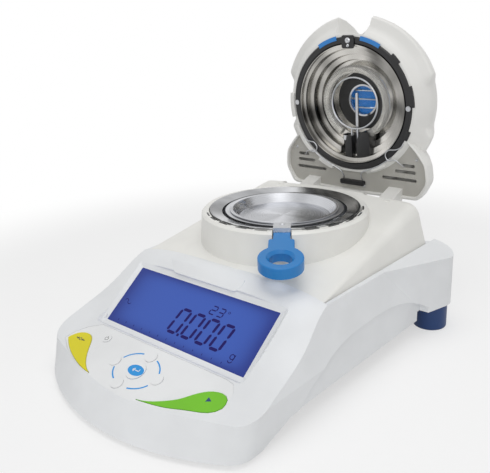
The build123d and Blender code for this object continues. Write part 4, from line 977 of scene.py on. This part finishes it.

# %% [markdown]
# ## The louvred vent
#
# The back of the lid has a round vent with blue slats in a turned ring that holds their ends. A second
# row of slats lies right behind the glass, so that the window shows them as the photograph does. Bright
# steel bars in its gaps are painted light showing through the gaps. Each row is one bar repeated by the tree
# above.

# %% Slats and their ring
LOUVRES = Flat(LID.origin, LID.up, LID.normal)
vent_slats = lay_bars(
    "vent_slats", LOUVRES, (-17.5, 0, 56.5), 6, 42.0, (5.8, 34.0, 1.4), "lid", "vent_blue",
    replaced=["vent_grille"])
ring_section = [(18.0, 53.6), (21.0, 53.6), (22.4, 59.4), (18.6, 59.4)]
make_piece("vent_ring", turned_mesh("vent_ring", LID, ring_section), "lid", "vent_blue",
           replaced=["vent_grille"], smooth=40)
to_lid = LID.matrix().inverted()
GLASS_BACK = max((to_lid @ vertex.co).z for vertex in nodes["window_glass"].data.vertices) / MM
inner_slats = lay_bars(
    "inner_slats", LOUVRES, (-13.4, 0, GLASS_BACK + 4.0), 4, 35.6, (7.0, 34.0, 0.8), "lid", "vent_blue")
# Steel bars in the gaps of the inner row: painted light showing through the gaps.
lay_bars("gap_light_bars", LOUVRES, (-8.95, 0, GLASS_BACK + 3.2), 3, 26.7, (1.1, 34.0, 0.6), "lid", "steel")
counts = [len(row.data.polygons) // 6 for row in (vent_slats, inner_slats)]
print("slats in the vent and behind the window:", counts)

# %% [markdown]
# ## Slots round the collar
#
# Where the flange ring meets the collar, the real one shows a broken dark line of short slots. The shade in
# each is painted as a thin dark slab on the collar's top, because a cut would need the packed housing
# changed.

# %% Painted shade of the slots round the chamber ring
COLLAR_TOP, SLOT_RADIUS, SLOT_SPAN = 118.6, 71.0, 9
SLOT_STARTS = (-131, -119, -105, -88, -73, -38, -22, -6, 10, 26)
# The black slabs are painted shade where the slots would be dark.
slot_shades = [arc_band((0, 0), SLOT_RADIUS, 1.5, start, SLOT_SPAN, 8) for start in SLOT_STARTS]
slot_shade_mesh = to_mesh("collar_slot_shade", slabs(UPRIGHT, slot_shades, COLLAR_TOP - 0.4, COLLAR_TOP + 0.08))
make_piece("collar_slot_shade", slot_shade_mesh, "base", "black")
print("slots round the ring:", len(slot_shades))

# %% [markdown]
# ## The lamp holder
#
# The ring lamp stands on a black moulded foot with two uprights, one on each side of its pinch. On the
# real lid they are one moulding screwed to the reflector. Drawn from the front and given their own
# depth, the two blocks keep the slot between them that the lamp's wires pass through.

# %% Lamp holder in two uprights
uprights = [
    soften([(1.6, -62.0), (9.6, -62.0), (9.4, -41.0), (7.6, -33.0), (2.0, -33.0), (1.6, -41.0)], 1.2),
    soften([
        (-19.0, -58.5), (-4.0, -58.5), (-4.0, -36.0), (-9.0, -28.0), (-17.5, -28.0), (-19.0, -36.0),
    ], 1.2),
]
DEPTHS = {"lamp_upright_left": 13.0, "lamp_upright_right": 17.0}
for (name, depth), outline in zip(DEPTHS.items(), uprights):
    lid_slabs(name, [outline], 5.2, depth, 0.4, "black", ["lamp_holder"])
print("uprights of the lamp holder:", len(uprights))

# %% [markdown]
# ## The floor, the light and the camera
#
# The photograph is a cut-out on white. A pale floor that turns pure white for the camera keeps the
# object's own soft shadow off the picture's edge, and large lamps give the plain light of a light tent.

# %% Floor
NEAR_WHITE = 0.55  # how far the floor is lifted to white beside the object
SHADOW_REACH = (0.36, 0.62)  # where the object's shadow fades out, in metres from its middle


def stage_floor(size=3.0):
    """A pale floor; straight to the camera it is lifted to white, less the shadow that falls on it."""
    mesh = bpy.data.meshes.new("floor")
    corners = [(-size, -size, 0), (size, -size, 0), (size, size, 0), (-size, size, 0)]
    mesh.from_pydata(corners, [], [(0, 1, 2, 3)])
    floor = bpy.data.objects.new("floor", mesh)
    scene.collection.objects.link(floor)
    pale = Finish("floor", Roughness=0.8, Specular_IOR_Level=0.0)
    x, y, z, point = pale.place()
    pale.set("Base Color", pale.blend(pale.noise(point, 0.3), (0.90, 0.90, 0.90), (0.92, 0.92, 0.92)))
    tree = pale.tree
    path = tree.nodes.new("ShaderNodeLightPath")
    seen = Wire(pale, path.outputs["Is Camera Ray"])
    seen = seen.most(Wire(pale, path.outputs["Is Glossy Ray"]))
    seen = seen.most(Wire(pale, path.outputs["Is Transmission Ray"]))
    white = tree.nodes.new("ShaderNodeEmission")
    white.inputs["Color"].default_value = (1, 1, 1, 1)
    white.inputs["Strength"].default_value = 1.0
    far = (x * x + y * y).root().ramp(*SHADOW_REACH)
    share = (seen * (NEAR_WHITE + (1 - NEAR_WHITE) * far)).least(1.0)
    mixed = tree.nodes.new("ShaderNodeMixShader")
    tree.links.new(share.socket, mixed.inputs[0])
    tree.links.new(pale.surface.outputs[0], mixed.inputs[1])
    tree.links.new(white.outputs[0], mixed.inputs[2])
    tree.links.new(mixed.outputs[0], tree.nodes["Material Output"].inputs["Surface"])
    mesh.materials.append(pale.material)
    return floor


floor = stage_floor()
print("floor:", floor.name)

# %% World and lamps
FILL_LIGHT = 0.46  # of the white world, for rays that only carry light

world = bpy.data.worlds.new("studio")
world.use_nodes = True
scene.world = world
tree = world.node_tree
background = tree.nodes["Background"]
background.inputs["Color"].default_value = (1, 1, 1, 1)
path = tree.nodes.new("ShaderNodeLightPath")
seen = path.outputs["Is Camera Ray"]
for ray in ("Is Glossy Ray", "Is Transmission Ray"):
    most = tree.nodes.new("ShaderNodeMath")
    most.operation = "MAXIMUM"
    tree.links.new(seen, most.inputs[0])
    tree.links.new(path.outputs[ray], most.inputs[1])
    seen = most.outputs[0]
level = tree.nodes.new("ShaderNodeMapRange")
level.inputs["To Min"].default_value = FILL_LIGHT
level.inputs["To Max"].default_value = 1.0
tree.links.new(seen, level.inputs["Value"])
tree.links.new(level.outputs[0], background.inputs["Strength"])


def lamp(name, place, aim, size, watts):
    data = bpy.data.lights.new(name, "AREA")
    data.shape = "DISK"
    data.size = size
    data.energy = watts
    light = bpy.data.objects.new(name, data)
    light.location = place
    light.rotation_euler = (Vector(aim) - Vector(place)).to_track_quat("-Z", "Y").to_euler()
    scene.collection.objects.link(light)
    return light


lamps = [
    lamp("overhead", (0.15, -0.1, 1.3), (0, 0, 0.05), 1.1, 5.5),
    lamp("front_right", (0.75, -1.15, 0.75), (0, -0.05, 0.1), 0.9, 4.6),
]
print("lamps:", [light.name for light in lamps])

# %% Camera
IMAGE_WIDTH, IMAGE_HEIGHT = 490, 473
FOCAL_LENGTH = 659.24  # in pixels of the picture, like the next two
OPTICAL_CENTRE = (204.22, 219.4)
SENSOR = 36  # in millimetres
CAMERA = (0.35574, -0.46632, 0.2909)
YAW, PITCH, ROLL = radians(44.58), radians(17.23), radians(3.08)
forward = Vector((-sin(YAW) * cos(PITCH), cos(YAW) * cos(PITCH), -sin(PITCH)))
right = Vector((cos(YAW), sin(YAW), 0))
down = forward.cross(right)
image_right = cos(ROLL) * right + sin(ROLL) * down
image_down = cos(ROLL) * down - sin(ROLL) * right
data = bpy.data.cameras.new("view")
data.sensor_width = SENSOR
data.lens = FOCAL_LENGTH / IMAGE_WIDTH * SENSOR
data.shift_x = (IMAGE_WIDTH / 2 - OPTICAL_CENTRE[0]) / IMAGE_WIDTH
data.shift_y = (OPTICAL_CENTRE[1] - IMAGE_HEIGHT / 2) / IMAGE_WIDTH
data.clip_start = 0.01
camera = bpy.data.objects.new("view", data)
camera.matrix_world = Matrix((
    (image_right.x, -image_down.x, -forward.x, CAMERA[0]),
    (image_right.y, -image_down.y, -forward.y, CAMERA[1]),
    (image_right.z, -image_down.z, -forward.z, CAMERA[2]),
    (0, 0, 0, 1),
))
scene.collection.objects.link(camera)
scene.camera = camera
scene.view_settings.view_transform = "Standard"
print("camera looks along", [round(c, 3) for c in forward])
